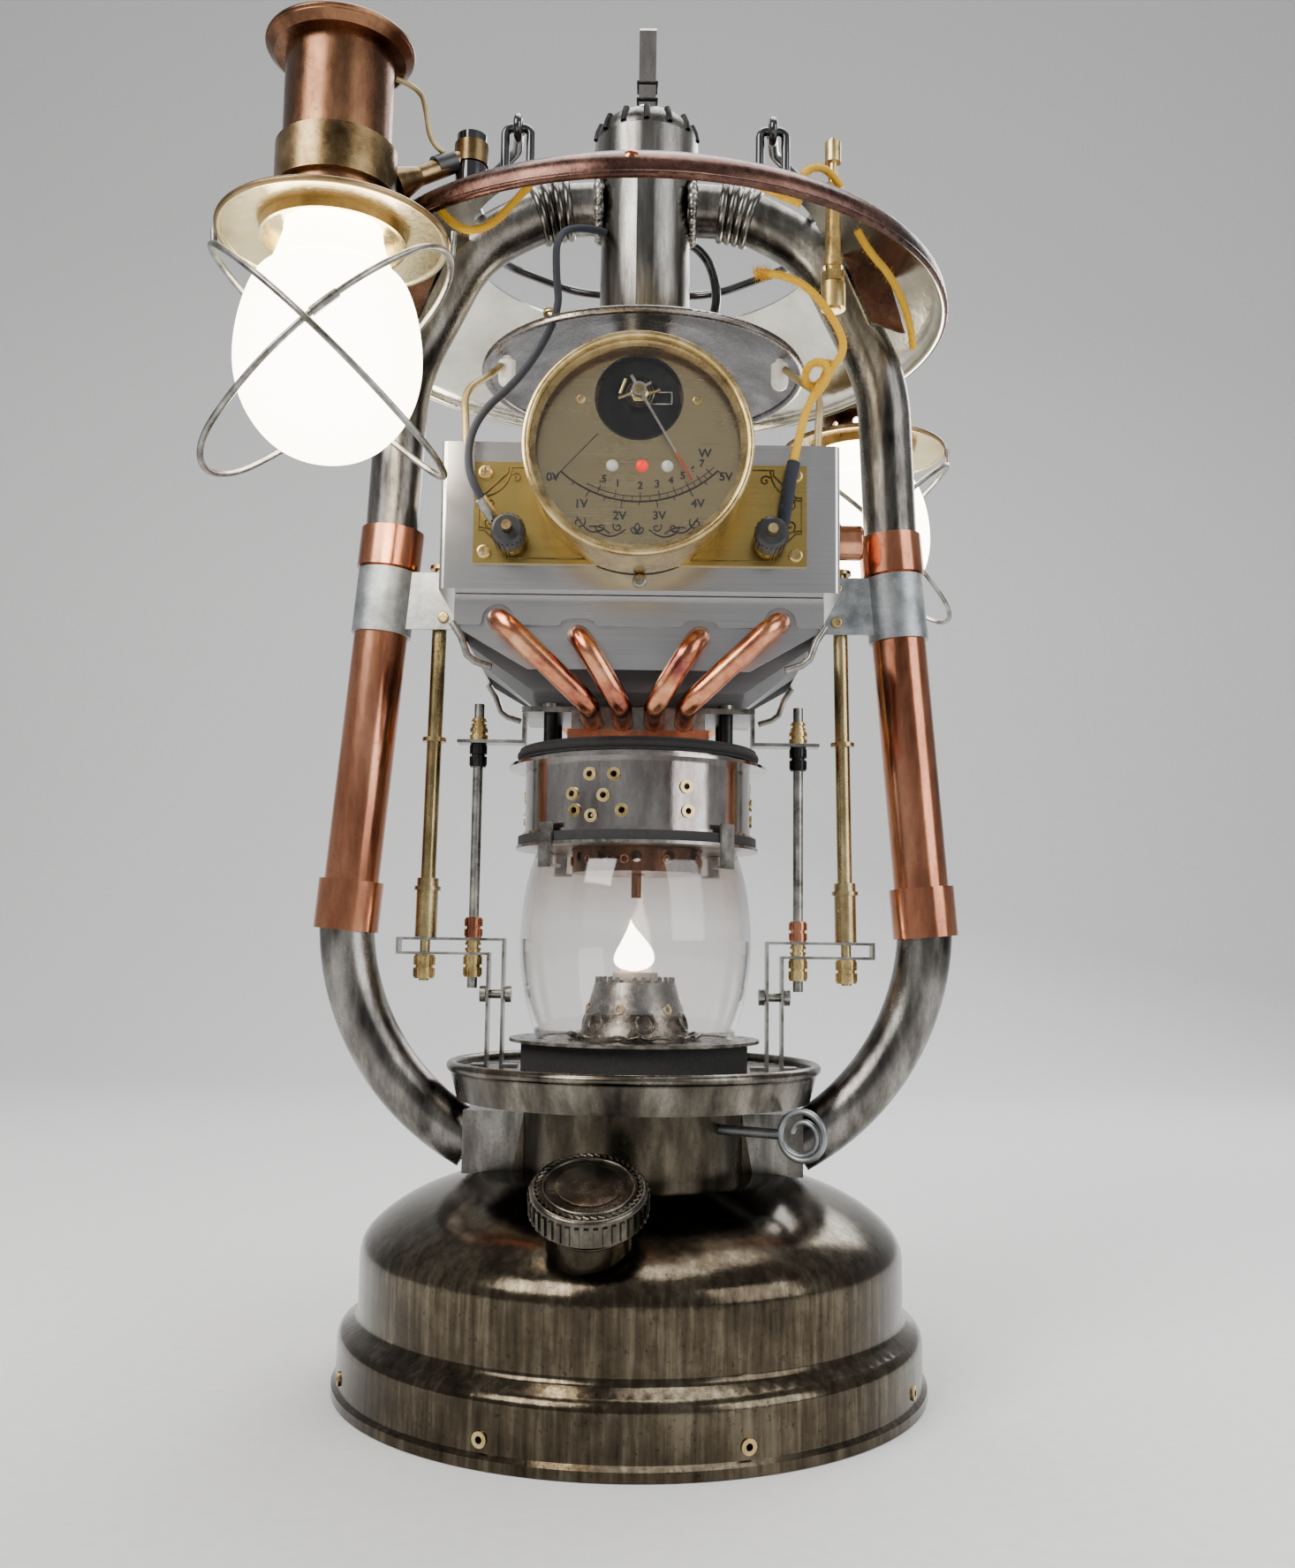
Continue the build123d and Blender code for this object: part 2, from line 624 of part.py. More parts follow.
def burner_cone():
    low = PLATE_Z + PLATE_T
    cone = turned(
        (CONE_LOW_R, low),
        (CONE_LOW_R + 3.0, low),
        (CONE_LOW_R + 3.0, low + CONE_WALL),
        (CONE_LOW_R + CONE_WALL, low + CONE_WALL),
        (CONE_TOP_R + CONE_WALL, CONE_TOP_Z - 1.6),
        (CONE_TOP_R, CONE_TOP_Z - 1.6),
    )
    tooth_span = (CONE_TOP_R + 0.1, CONE_TOP_R + CONE_WALL - 0.05)
    tooth = block(tooth_span, (-0.6, 0.6), (CONE_TOP_Z - 1.9, CONE_TOP_Z))
    for number in range(CONE_TEETH):
        cone += Rot(0, 0, 360 / CONE_TEETH * number) * tooth
    nut = Pos(0, -CONE_LOW_R - 1.4, low + 1.9) * Rot(90, 0, 0)
    cone += nut * extrude(RegularPolygon(1.9, 6), amount=1.4, both=True)
    return cone


def wick():
    low = STEM_LOW_Z - 6.0
    half_w = WICK_WIDTH / 2
    half_t = WICK_T / 2
    ribbon = block((-half_w, half_w), (-half_t, half_t), (low, WICK_TOP_Z))
    return Rot(0, 0, RAISER_ANGLE) * ribbon


def wick_raiser():
    """Shaft, toothed wheel against the wick, and the wire ring outside that turns it."""
    shaft = disc(RAISER_SHAFT_R, -SPROCKET_R, RAISER_REACH)
    wheel = disc(SPROCKET_R, -1.0, 1.0)
    tooth = block((SPROCKET_R - 0.5, SPROCKET_R + SPROCKET_TOOTH), (-0.5, 0.5), (-1.0, 1.0))
    for number in range(12):
        wheel += Rot(0, 0, 30 * number) * tooth
    hoop = Pos(0, 0, RAISER_REACH + RAISER_RING_R) * Rot(90, 0, 0) * Torus(RAISER_RING_R, RAISER_WIRE_R)
    return raiser_place() * (shaft + wheel + hoop)


def raiser_place():
    """The raiser's axis in front of the wick's flat side, pointing out through the neck."""
    offset = WICK_T / 2 + SPROCKET_R + SPROCKET_TOOTH + LOOSE_GAP
    return Rot(0, 0, RAISER_ANGLE) * Pos(0, -offset, RAISER_Z) * Rot(0, 90, 0)


# Globe, fire drum and thermoelectric stack
def globe():
    low = PLATE_Z + PLATE_T
    outside = [
        (GLOBE_FOOT_R, low),
        (GLOBE_FOOT_R + 2.2, low + 6.4),
        (GLOBE_BELLY_R - 0.5, GLOBE_BELLY_Z - 8.0),
        (GLOBE_BELLY_R, GLOBE_BELLY_Z),
        (GLOBE_BELLY_R - 0.45, GLOBE_BELLY_Z + 9.0),
        (GLOBE_NECK_R + 1.9, GLOBE_TOP_Z - 5.5),
        (GLOBE_NECK_R, GLOBE_TOP_Z),
    ]
    inside = [(radius - GLOBE_WALL, height) for radius, height in outside]
    outer = Spline(*outside)
    inner = Spline(*reversed(inside))
    top = Line(outside[-1], inside[-1])
    foot = Line(inside[0], outside[0])
    return turned_edges(outer, top, inner, foot)


def clip_ring():
    """The flange on the globe's neck, with four spring clips that hold the globe."""
    low = GLOBE_TOP_Z + SEAT_GAP
    flange = ring(FLANGE_R, CUP_R + 0.4, low, FLANGE_TOP_Z)
    clip = block((FLANGE_R - 0.3, FLANGE_R + 0.5), (-2.6, 2.6), (low - 5.5, DRUM_LOW_Z + 2.6))
    foot = block((GLOBE_NECK_R + 3.0, FLANGE_R + 0.5), (-2.6, 2.6), (low - 6.3, low - 5.5))
    for number in range(4):
        flange += Rot(0, 0, 45 + 90 * number) * (clip + foot)
    return flange


def fire_drum():
    """The polished drum that the flame heats, its flanges and its lid."""
    wall = ring(DRUM_R, DRUM_R - DRUM_WALL, DRUM_LOW_Z, DRUM_TOP_Z)
    for place in drum_eyelet_places():
        wall -= place * Cylinder(EYELET_R - 0.6 + SEAT_GAP, 5)
    for side in (-1, 1):
        hole = Pos(side * DRUM_R, -3.0, DRUM_LOW_Z + 10) * Rot(0, 90, 0) * Cylinder(3.6, 8)
        wall -= hole
    foot = ring(DRUM_R + 0.8, DRUM_R - 3.4, DRUM_LOW_Z, DRUM_LOW_Z + 0.9)
    lip = ring(DRUM_FLANGE_R, DRUM_R - 0.5, DRUM_TOP_Z - 0.9, DRUM_TOP_Z)
    lid = disc(DRUM_R + 1.0, DRUM_TOP_Z - 0.1, MODULE_LOW_Z)
    return wall + foot + lip + lid


def drum_eyelet_places():
    """The draught eyelets, scattered in uneven groups round the drum."""
    spots = (
        (-113, 15.6),
        (-101, 15.4),
        (-106, 9.6),
        (-122.5, 10.3),
        (-121, 5.6),
        (-112, 4.0),
        (-97, 5.4),
        (-66, 12.4),
        (-65, 5.6),
    )
    places = []
    for turn in (0, 120, 240):
        for angle, height in spots:
            spin = Rot(0, 0, angle + turn)
            places.append(spin * Pos(DRUM_R - DRUM_WALL / 2, 0, DRUM_LOW_Z + height) * Rot(0, 90, 0))
    return places


def brass_eyelets():
    rings = [place * eyelet(TANK_WALL) for place in eyelet_places()]
    rings += [place * eyelet(DRUM_WALL) for place in drum_eyelet_places()]
    return group(*rings)


def deflector_cup():
    """The holed cup that hangs in the globe's neck, and the pin under it."""
    top = FLANGE_TOP_Z + 0.8
    rim_z = FLANGE_TOP_Z + SEAT_GAP
    cup = turned(
        (3.0, CUP_LOW_Z),
        (CUP_R, CUP_LOW_Z),
        (CUP_R, rim_z),
        (CUP_R + 6.0, rim_z),
        (CUP_R + 6.0, top),
        (CUP_R - 0.8, top),
        (CUP_R - 0.8, CUP_LOW_Z + 0.8),
        (3.0, CUP_LOW_Z + 0.8),
    )
    for number in range(12):
        place = Rot(0, 0, 30 * number) * Pos(CUP_R, 0, CUP_LOW_Z + 4.2) * Rot(0, 90, 0)
        cup -= place * Cylinder(1.7, 4)
    pin = disc(3.2, CUP_LOW_Z + 0.2, CUP_LOW_Z + 1.6) + disc(1.5, CUP_LOW_Z - 7.0, CUP_LOW_Z + 0.3)
    return cup + pin


def teg_module():
    """The thermoelectric module: two ceramic plates with the legs between them."""
    half = MODULE_SIDE / 2 - 2.0
    low = MODULE_LOW_Z
    plate_t = 0.8
    lower = block((-half, half), (-half, half), (low, low + plate_t))
    upper = block((-half, half), (-half, half), (low + MODULE_T - plate_t, low + MODULE_T))
    legs = block((-half + 1, half - 1), (-half + 1, half - 1), (low + plate_t, low + MODULE_T - plate_t))
    return lower + legs + upper


def cold_block():
    """The copper base on the module, and the grooved saddle that holds the pipes down on it."""
    half = BLOCK_SIDE / 2
    base = block((-half, half), (-half, half), (BLOCK_LOW_Z, SADDLE_LOW_Z))
    saddle_low = SADDLE_LOW_Z
    saddle = block((-half + 1, half - 1), (-half + 2, half - 2), (saddle_low, BAR_Z))
    for pipe in pipe_shapes(PIPE_R + SEAT_GAP):
        saddle -= pipe
        base -= pipe
    return group(base, saddle)


def pipe_shapes(radius):
    """The four bent pipes: up out of the base, back into the fins, at the front and the rear."""
    shapes = []
    for index in (0, 1):
        for side in (-1, 1):
            low_x = side * PIPE_LOW_X[index]
            top_x = side * PIPE_TOP_X[index]
            top_z = PIPE_TOP_Z[index]
            path = FilletPolyline(
                (top_x, -2.0, top_z),
                (top_x, -PIPE_FRONT_Y, top_z),
                (low_x, -PIPE_FRONT_Y + 25, PIPE_LOW_Z),
                (low_x, PIPE_FRONT_Y - 25, PIPE_LOW_Z),
                (top_x, PIPE_FRONT_Y, top_z),
                (top_x, 2.0, top_z),
                radius=[PIPE_BEND_R, PIPE_BEND_R, PIPE_BEND_R, PIPE_BEND_R],
            )
            shapes.append(wire_round(path, radius))
    return shapes


def heat_pipes():
    return group(*pipe_shapes(PIPE_R))


def fin_outline(edge_z, low_z):
    """One fin: a straight band above, and a tapered part below it."""
    low_w = FIN_LOW_HALF_W
    points = (
        (-FIN_HALF_W + FIN_RIM_T, FIN_BAND_TOP_Z),
        (FIN_HALF_W - FIN_RIM_T, FIN_BAND_TOP_Z),
        (FIN_HALF_W - FIN_RIM_T, edge_z),
        (low_w, low_z),
        (-low_w, low_z),
        (-FIN_HALF_W + FIN_RIM_T, edge_z),
    )
    return make_face(Polyline(*points, close=True))


def fin_places():
    """Distance of each fin from the middle of the stack, along Y."""
    pitch = (FIN_DEPTH - 2 * FIN_RIM_T - FIN_T) / (FIN_COUNT - 1)
    return [pitch * (number - (FIN_COUNT - 1) / 2) for number in range(FIN_COUNT)]


def cooling_fins():
    """The fins, each pushed over the pipes, and the folded rim round their upper band."""
    fins = []
    half_d = FIN_DEPTH / 2
    pipes = pipe_shapes(PIPE_R + SEAT_GAP)
    for y in fin_places():
        low_z = FIN_LOW_Z + (FIN_EDGE_LOW_Z - FIN_LOW_Z) * abs(y) / half_d
        fin = extrude(Plane.XZ.offset(-y) * fin_outline(FIN_BAND_LOW_Z, low_z), amount=FIN_T / 2, both=True)
        for pipe in pipes:
            fin -= pipe
        fins.append(fin)
    outer = block((-FIN_HALF_W, FIN_HALF_W), (-half_d, half_d), (FIN_BAND_LOW_Z, FIN_BAND_TOP_Z))
    rim_in_w = FIN_HALF_W - FIN_RIM_T + 0.01
    rim_in_d = half_d - FIN_RIM_T
    rim = outer
    rim -= block((-rim_in_w, rim_in_w), (-rim_in_d, rim_in_d), (FIN_BAND_LOW_Z - 1, FIN_BAND_TOP_Z + 1))
    for pipe in pipe_shapes(PIPE_R + 0.5):
        rim -= pipe
    return group(*fins, rim)


def clamp_bar():
    """The bar that presses the cold block down, its pillars and the two strips to the struts."""
    top = BAR_Z + BAR_T
    bar = block((-BAR_HALF_W, BAR_HALF_W), (-PILLAR_Y - 3, PILLAR_Y + 3), (BAR_Z, top))
    bar -= block((-PILLAR_X + 6, PILLAR_X - 6), (-PILLAR_Y + 4, PILLAR_Y - 4), (BAR_Z - 1, BAR_Z + 5))
    width = (-STRAP_WIDTH / 2, STRAP_WIDTH / 2)
    pieces = []
    for side_x in (-1, 1):
        for side_y in (-1, 1):
            x = side_x * PILLAR_X
            y = side_y * PILLAR_Y
            bar -= Pos(x, y, BAR_Z) * Cylinder(PILLAR_PIN_R + SEAT_GAP, 9)
            pillar = disc(PILLAR_R, BLOCK_LOW_Z, BAR_Z)
            pillar += disc(PILLAR_PIN_R, BAR_Z - 0.5, top + 0.2)
            pillar += disc(PILLAR_R + 0.2, top, top + 1.2)
            pieces.append(Pos(x, y, 0) * pillar)
        strip = block((BAR_HALF_W - 0.1, BAR_HALF_W + 0.9), width, (ARM_Z, top))
        strip += block((BAR_HALF_W - 0.1, ARM_OUT_X), width, (ARM_Z, ARM_Z + 1.0))
        strip -= Pos(INNER_STRUT_X, 0, ARM_Z) * Cylinder(ROD_R + SEAT_GAP, 9)
        bar += on_side(side_x, strip)
    return group(bar, *pieces)


# Casing with its face plate, meter, terminals and switch
def casing():
    """Folded aluminium case, open below where the fins meet it."""
    low = CASING_LOW_Z
    height = (low, CASING_TOP_Z)
    outer = block((-CASING_HALF_W, CASING_HALF_W), (-CASING_HALF_D, CASING_HALF_D), height)
    outer = fillet(outer.edges().filter_by(Axis.Z), 1.6)
    in_w = CASING_HALF_W - CASING_WALL
    in_d = CASING_HALF_D - CASING_WALL
    case = outer - block((-in_w, in_w), (-in_d, in_d), (low - 1, CASING_TOP_Z - CASING_WALL))
    hem_w = FIN_HALF_W - 3
    hem = block((-in_w - 0.2, in_w + 0.2), (-in_d - 0.2, in_d + 0.2), (low, low + CASING_WALL))
    hem -= block((-hem_w, hem_w), (-FIN_DEPTH / 2 + 3, FIN_DEPTH / 2 - 3), (low - 1, low + 3))
    case += hem
    case -= disc(COLUMN_LOW_R - COLUMN_WALL, CASING_TOP_Z - 5, CASING_TOP_Z + 5)
    case -= Pos(METER_X, -CASING_HALF_D, METER_Z - VENT_DROP) * Rot(90, 0, 0) * Cylinder(VENT_R, 8)
    switch = Pos(CASING_HALF_W, SWITCH_Y, SWITCH_Z) * Rot(0, 90, 0)
    case += switch * disc(SWITCH_SHAFT_R + 2.2, 0, SWITCH_BOSS_H)
    case -= switch * disc(SWITCH_SHAFT_R + RUN_GAP, -5, 9)
    for side in (-1, 1):
        place = Pos(side * POST_X, -CASING_HALF_D, POST_Z) * Rot(90, 0, 0)
        case -= place * Cylinder(POST_STUD_R + 0.4, 8)
    return case


def power_board():
    """The step-up board inside the case: board, coil core, two capacitors and a heat spreader."""
    low = FIN_BAND_TOP_Z + LOOSE_GAP
    board = block((-30, 30), (-6, 30), (low, low + 1.6))
    board += Pos(-14, 12, 0) * ring(9, 4.5, low + 1.5, low + 8)
    board += Pos(8, 4, 0) * disc(4, low + 1.5, low + 13)
    board += Pos(19, 4, 0) * disc(4, low + 1.5, low + 13)
    board += block((2, 24), (14, 26), (low + 1.5, low + 7))
    return board


def face_plate():
    """The brass plate behind the meter, drilled for the terminals and its corner screws."""
    front = -CASING_HALF_D - FACE_PLATE_T
    height = (FACE_PLATE_LOW_Z, FACE_PLATE_TOP_Z)
    plate = block((-FACE_PLATE_HALF_W, FACE_PLATE_HALF_W), (front, -CASING_HALF_D), height)
    plate -= Pos(METER_X, -CASING_HALF_D, METER_Z - VENT_DROP) * Rot(90, 0, 0) * Cylinder(VENT_R, 8)
    for side in (-1, 1):
        place = Pos(side * POST_X, -CASING_HALF_D, POST_Z) * Rot(90, 0, 0)
        plate -= place * Cylinder(POST_STUD_R + 0.4, 8)
    for place in plate_screw_places():
        plate -= place * Cylinder(1.0 + SEAT_GAP, 8)
    return plate


def plate_screw_places():
    """The plate's four corner screws, Z pointing out to the front."""
    places = []
    for x in (-FACE_PLATE_HALF_W + 3.0, FACE_PLATE_HALF_W - 3.0):
        for z in (FACE_PLATE_LOW_Z + 3.0, FACE_PLATE_TOP_Z - 3.0):
            places.append(Pos(x, -CASING_HALF_D - FACE_PLATE_T, z) * Rot(90, 0, 0))
    return places


def screw(head_r, shank_r, length):
    """A pan-head screw with a cross in it. Its head sits on Z 0 and its shank goes down."""
    head = disc(head_r, 0, head_r * 0.6)
    head = fillet(head.edges().group_by(Axis.Z)[-1], head_r * 0.35)
    slot_w = head_r * 0.2
    top = head_r * 0.6
    head -= block((-head_r * 0.6, head_r * 0.6), (-slot_w / 2, slot_w / 2), (top - 0.5, top + 1))
    head -= block((-slot_w / 2, slot_w / 2), (-head_r * 0.6, head_r * 0.6), (top - 0.5, top + 1))
    return head + disc(shank_r, -length, 0.1)


def brass_fasteners():
    """All the brass screws, and the knurled nuts on the threaded rods."""
    pieces = [place * screw(1.9, 1.0, 0.9) for place in plate_screw_places()]
    middle = Pos(0, -CASING_HALF_D, CASING_LOW_Z + 2.6) * Rot(90, 0, 0)
    pieces.append(middle * screw(1.9, 1.0, 0))
    for side in (-1, 1):
        flank = Pos(side * CASING_HALF_W, -34, CASING_LOW_Z + 17) * Rot(0, 90 * side, 0)
        pieces.append(flank * screw(2.2, 1.2, 0))
        for z in (BAND_LOW_Z + 4.6, BAND_TOP_Z - 4.6):
            tab = Pos(side * BAND_SCREW_X, BAND_TAB_Y - BAND_T / 2, z) * Rot(90, 0, 0)
            pieces.append(tab * screw(1.7, 0.9, 0))
        pieces += strut_nuts(side)
    for side in (-1, 1):
        dial = meter_place() * Pos(side * DIAL_SCREW_X, DIAL_SCREW_Y, METER_DEPTH - DIAL_DROP)
        pieces.append(dial * screw(1.3, 0.7, 0))
    return group(*pieces)


def meter_place():
    """The meter's axis: Z points out to the viewer, Y points up, from the plate's face."""
    return Pos(METER_X, -CASING_HALF_D - FACE_PLATE_T, METER_Z) * Rot(90, 0, 0)


def meter_can():
    """Brass can with a rolled bezel, the glass's seat and the lead hole in its back."""
    can = disc(METER_R, 0, METER_DEPTH)
    can -= disc(METER_R - METER_WALL, METER_WALL, METER_DEPTH + 1)
    bezel = ring(BEZEL_R, METER_R - METER_WALL, METER_DEPTH - BEZEL_T, METER_DEPTH)
    bezel += torus(BEZEL_R - 0.7, 0.9, METER_DEPTH - 0.2)
    inner = METER_R - METER_WALL
    seat = ring(inner + 0.1, inner - 1.4, METER_DEPTH - BEZEL_T - 1.0, METER_DEPTH - BEZEL_T)
    body = can + bezel + seat
    body -= Pos(0, -VENT_DROP, 0) * Cylinder(VENT_R, 6)
    return meter_place() * body


def meter_glass():
    low = METER_DEPTH - BEZEL_T + SEAT_GAP
    return meter_place() * disc(METER_R - METER_WALL - SEAT_GAP, low, low + GLASS_T)


def meter_dial():
    """The brass dial, with the round window over the movement and three lamp holes."""
    low = METER_DEPTH - DIAL_DROP - DIAL_T
    dial = disc(METER_R - METER_WALL - SEAT_GAP, low, low + DIAL_T)
    dial -= Pos(0, WINDOW_UP, low) * Cylinder(WINDOW_R, 5)
    for x in DIAL_LAMP_X:
        dial -= Pos(x, DIAL_LAMP_Y, low) * Cylinder(1.6 + SEAT_GAP, 5)
    back = ring(METER_R - METER_WALL - SEAT_GAP, METER_R - METER_WALL - 2, METER_WALL, low)
    return meter_place() * (dial + back)


def meter_movement():
    """Magnet, bridge and the needle's pivot pin, seen through the dial's window."""
    low = METER_WALL
    top = METER_DEPTH - DIAL_DROP - DIAL_T
    body = Pos(0, WINDOW_UP, 0) * disc(WINDOW_R - 0.6, low, top - 2.0)
    body -= Pos(0, NEEDLE_PIVOT_UP, 0) * disc(5.2, top - 6.0, top)
    body += Pos(0, NEEDLE_PIVOT_UP, 0) * disc(3.0, top - 6.1, top - 3.0)
    body += Pos(0, NEEDLE_PIVOT_UP, 0) * disc(NEEDLE_PIN_R, top - 3.1, needle_low() + 1.2)
    return meter_place() * body


def needle_low():
    return METER_DEPTH - DIAL_DROP + 1.7


def meter_needle():
    """Needle with its hub, balance arms and pointer."""
    low = needle_low()
    hub = ring(1.9, NEEDLE_PIN_R + RUN_GAP, low, low + 0.9)
    outline = ((-0.42, -1.6), (0.42, -1.6), (0.12, -NEEDLE_LENGTH), (-0.12, -NEEDLE_LENGTH))
    arm = Pos(0, 0, low + 0.3) * extrude(make_face(Polyline(*outline, close=True)), amount=0.3)
    arm += block((-0.4, 0.4), (1.6, 4.2), (low + 0.3, low + 0.6))
    arm += block((-3.6, -1.6), (-0.35, 0.35), (low + 0.3, low + 0.6))
    arm += block((1.6, 3.6), (-0.35, 0.35), (low + 0.3, low + 0.6))
    needle = Rot(0, 0, NEEDLE_ANGLE) * (hub + arm)
    return meter_place() * Pos(0, NEEDLE_PIVOT_UP, 0) * needle


def indicator_lamps():
    """Three small lamps in the dial and two clear ones under the steel cap."""
    pieces = []
    low = METER_DEPTH - DIAL_DROP - DIAL_T
    for x in DIAL_LAMP_X:
        body = disc(1.6, low - 1.0, low + DIAL_T - 0.4)
        body += Pos(0, 0, low + DIAL_T - 0.4) * Sphere(1.6)
        pieces.append(meter_place() * Pos(x, DIAL_LAMP_Y, 0) * body)
    for side in (-1, 1):
        pieces.append(on_side(side, cap_light()))
    return group(*pieces)


def cap_light():
    """A clear lamp in its holder, hung under the steel cap's right side."""
    reach = math.hypot(CAP_LIGHT_X, CAP_LIGHT_Y) + CAP_LIGHT_STEM_R
    under = steel_cap_height(reach) - STEEL_CAP_WALL - SEAT_GAP
    lamp = disc(CAP_LIGHT_R, -7.0, -1.6) + Pos(0, 0, -7.0) * Sphere(CAP_LIGHT_R)
    stem = disc(CAP_LIGHT_STEM_R, -2.1, 0)
    return Pos(CAP_LIGHT_X, CAP_LIGHT_Y, under) * (lamp + stem)


def terminals():
    """Two terminal studs on the face plate, and the tall terminal that goes through the canopy."""
    pieces = []
    front = -CASING_HALF_D - FACE_PLATE_T
    for side in (-1, 1):
        stud = disc(POST_BASE_R, 0, POST_BASE_H)
        stud += disc(POST_STUD_R, -FACE_PLATE_T - CASING_WALL, POST_KNOB_L + POST_BASE_H + 3.6)
        pieces.append(Pos(side * POST_X, front, POST_Z) * Rot(90, 0, 0) * stud)
    surface = canopy_height(math.hypot(TERMINAL_X, TERMINAL_Y))
    low = TERMINAL_LOW_Z
    collar = extrude(RegularPolygon(TERMINAL_R + 1.0, 6), amount=3.0)
    post = disc(TERMINAL_R, low, surface + 3)
    post += disc(TERMINAL_R + 1.2, low + 0.6, low + 8.0) + Pos(0, 0, low + 8.5) * collar
    post += disc(TERMINAL_R + 0.6, low + 13.0, low + 15.5)
    post += disc(1.3, surface + 2, surface + 20)
    post += Pos(0, 0, surface + 3.0) * collar + disc(2.3, surface + 13, surface + 19)
    pieces.append(Pos(TERMINAL_X, TERMINAL_Y, 0) * post)
    return group(*pieces)


def post_knob(side):
    """Black knurled nut of one terminal."""
    low = POST_BASE_H + LOOSE_GAP
    knob = disc(POST_KNOB_R - 0.3, low, low + POST_KNOB_L)
    knob = chamfer(knob.edges().group_by(Axis.Z)[-1], 0.8)
    rib = block((POST_KNOB_R - 0.7, POST_KNOB_R), (-0.3, 0.3), (low + 0.6, low + POST_KNOB_L - 1.2))
    for number in range(20):
        knob += Rot(0, 0, 18 * number) * rib
    knob -= disc(POST_STUD_R + RUN_GAP, low - 1, low + POST_KNOB_L + 1)
    return Pos(side * POST_X, -CASING_HALF_D - FACE_PLATE_T, POST_Z) * Rot(90, 0, 0) * knob


def switch_knob():
    """Copper cap knob on the switch's shaft."""
    low = SWITCH_BOSS_H + LOOSE_GAP
    top = low + SWITCH_KNOB_L
    shaft = disc(SWITCH_SHAFT_R, -CASING_WALL - 3.0, low + 0.5)
    stop = disc(SWITCH_SHAFT_R + 1.5, -CASING_WALL - 3.0, -CASING_WALL - LOOSE_GAP)
    knob = disc(SWITCH_KNOB_R, low, top)
    knob = fillet(knob.edges().group_by(Axis.Z)[-1], 1.0)
    collar = ring(SWITCH_KNOB_R + 0.7, SWITCH_KNOB_R - 0.5, low, low + 2.2)
    mark = block((SWITCH_KNOB_R - 2.4, SWITCH_KNOB_R - 0.6), (-0.35, 0.35), (top - 0.1, top + 0.3))
    return Pos(CASING_HALF_W, SWITCH_Y, SWITCH_Z) * Rot(0, 90, 0) * (shaft + stop + knob + collar + mark)


# Side tubes, column, canopy and the carrying bail
def elbow(outer, inner):
    """The right steel bend from the tank's neck up to the copper sleeve."""
    centre_x = ELBOW_TOP_X - ELBOW_R
    drop = math.degrees(math.acos((ELBOW_END_X - centre_x) / ELBOW_R))
    arc = CenterArc((0, 0), ELBOW_R, 0, -drop)
    path = Plane(origin=(centre_x, 0, ELBOW_TOP_Z), x_dir=(1, 0, 0), z_dir=(0, -1, 0)) * arc
    section = Circle(outer) if inner == 0 else Circle(outer) - Circle(inner)
    return sweep(Plane(origin=path @ 0, z_dir=path % 0) * section, path)


def lower_tubes():
    tube = elbow(TUBE_R, TUBE_R - TUBE_WALL)
    return group(*[on_side(side, tube) for side in (-1, 1)])


def sleeve_place():
    """The right copper sleeve's axis, from its lower end up."""
    start = Vector(ELBOW_TOP_X, 0, ELBOW_TOP_Z)
    end = Vector(SLEEVE_TOP_X, 0, SLEEVE_TOP_Z)
    return Plane(origin=start, x_dir=(0, 1, 0), z_dir=end - start)


def sleeve_length():
    return math.hypot(ELBOW_TOP_X - SLEEVE_TOP_X, ELBOW_TOP_Z - SLEEVE_TOP_Z)


def copper_sleeves():
    tube = sleeve_place() * ring(TUBE_R, TUBE_R - TUBE_WALL, 0.9, sleeve_length() - 0.1)
    return group(*[on_side(side, tube) for side in (-1, 1)])


def tube_collars():
    """Copper collars over the joints of steel and copper tube."""
    pieces = []
    for low, high in (COLLAR_LOW, COLLAR_HIGH):
        collar = sleeve_place() * ring(COLLAR_R, TUBE_R - 1.2, low - ELBOW_TOP_Z, high - ELBOW_TOP_Z)
        collar -= sleeve_place() * disc(TUBE_R + SEAT_GAP, 0.9, sleeve_length() - 0.1)
        collar -= elbow(TUBE_R + SEAT_GAP, 0)
        collar -= arch(TUBE_R + SEAT_GAP, 0)
        pieces += [on_side(side, collar) for side in (-1, 1)]
    return group(*pieces)


def arch_path():
    points = [(x, 0, z) for x, z in ARCH_POINTS]
    points.append((ARCH_IN_X, 0, ARCH_POINTS[-1][1] + 0.9))
    return FilletPolyline(*points, radius=list(ARCH_RADII) + [ARCH_RADII[1]])


def arch(outer, inner):
    """The right upper tube, bent over to the column."""
    path = arch_path()
    section = Circle(outer) if inner == 0 else Circle(outer) - Circle(inner)
    return sweep(Plane(origin=path @ 0, z_dir=path % 0) * section, path)


def upper_tubes():
    """Both upper tubes, with the crimped ribs on their level part."""
    pieces = []
    for side in (-1, 1):
        tube = arch(TUBE_R, TUBE_R - TUBE_WALL)
        tube -= disc(COLUMN_R + SEAT_GAP, CANOPY_LIP_Z, CROWN_TOP_Z)
        path = arch_path()
        for number in range(RIB_COUNT):
            share = 1 - (RIB_IN_LENGTH + RIB_PITCH * number) / path.length
            tube += Plane(origin=path @ share, z_dir=path % share) * Torus(TUBE_R, RIB_R)
        pieces.append(on_side(side, tube))
    return group(*pieces)


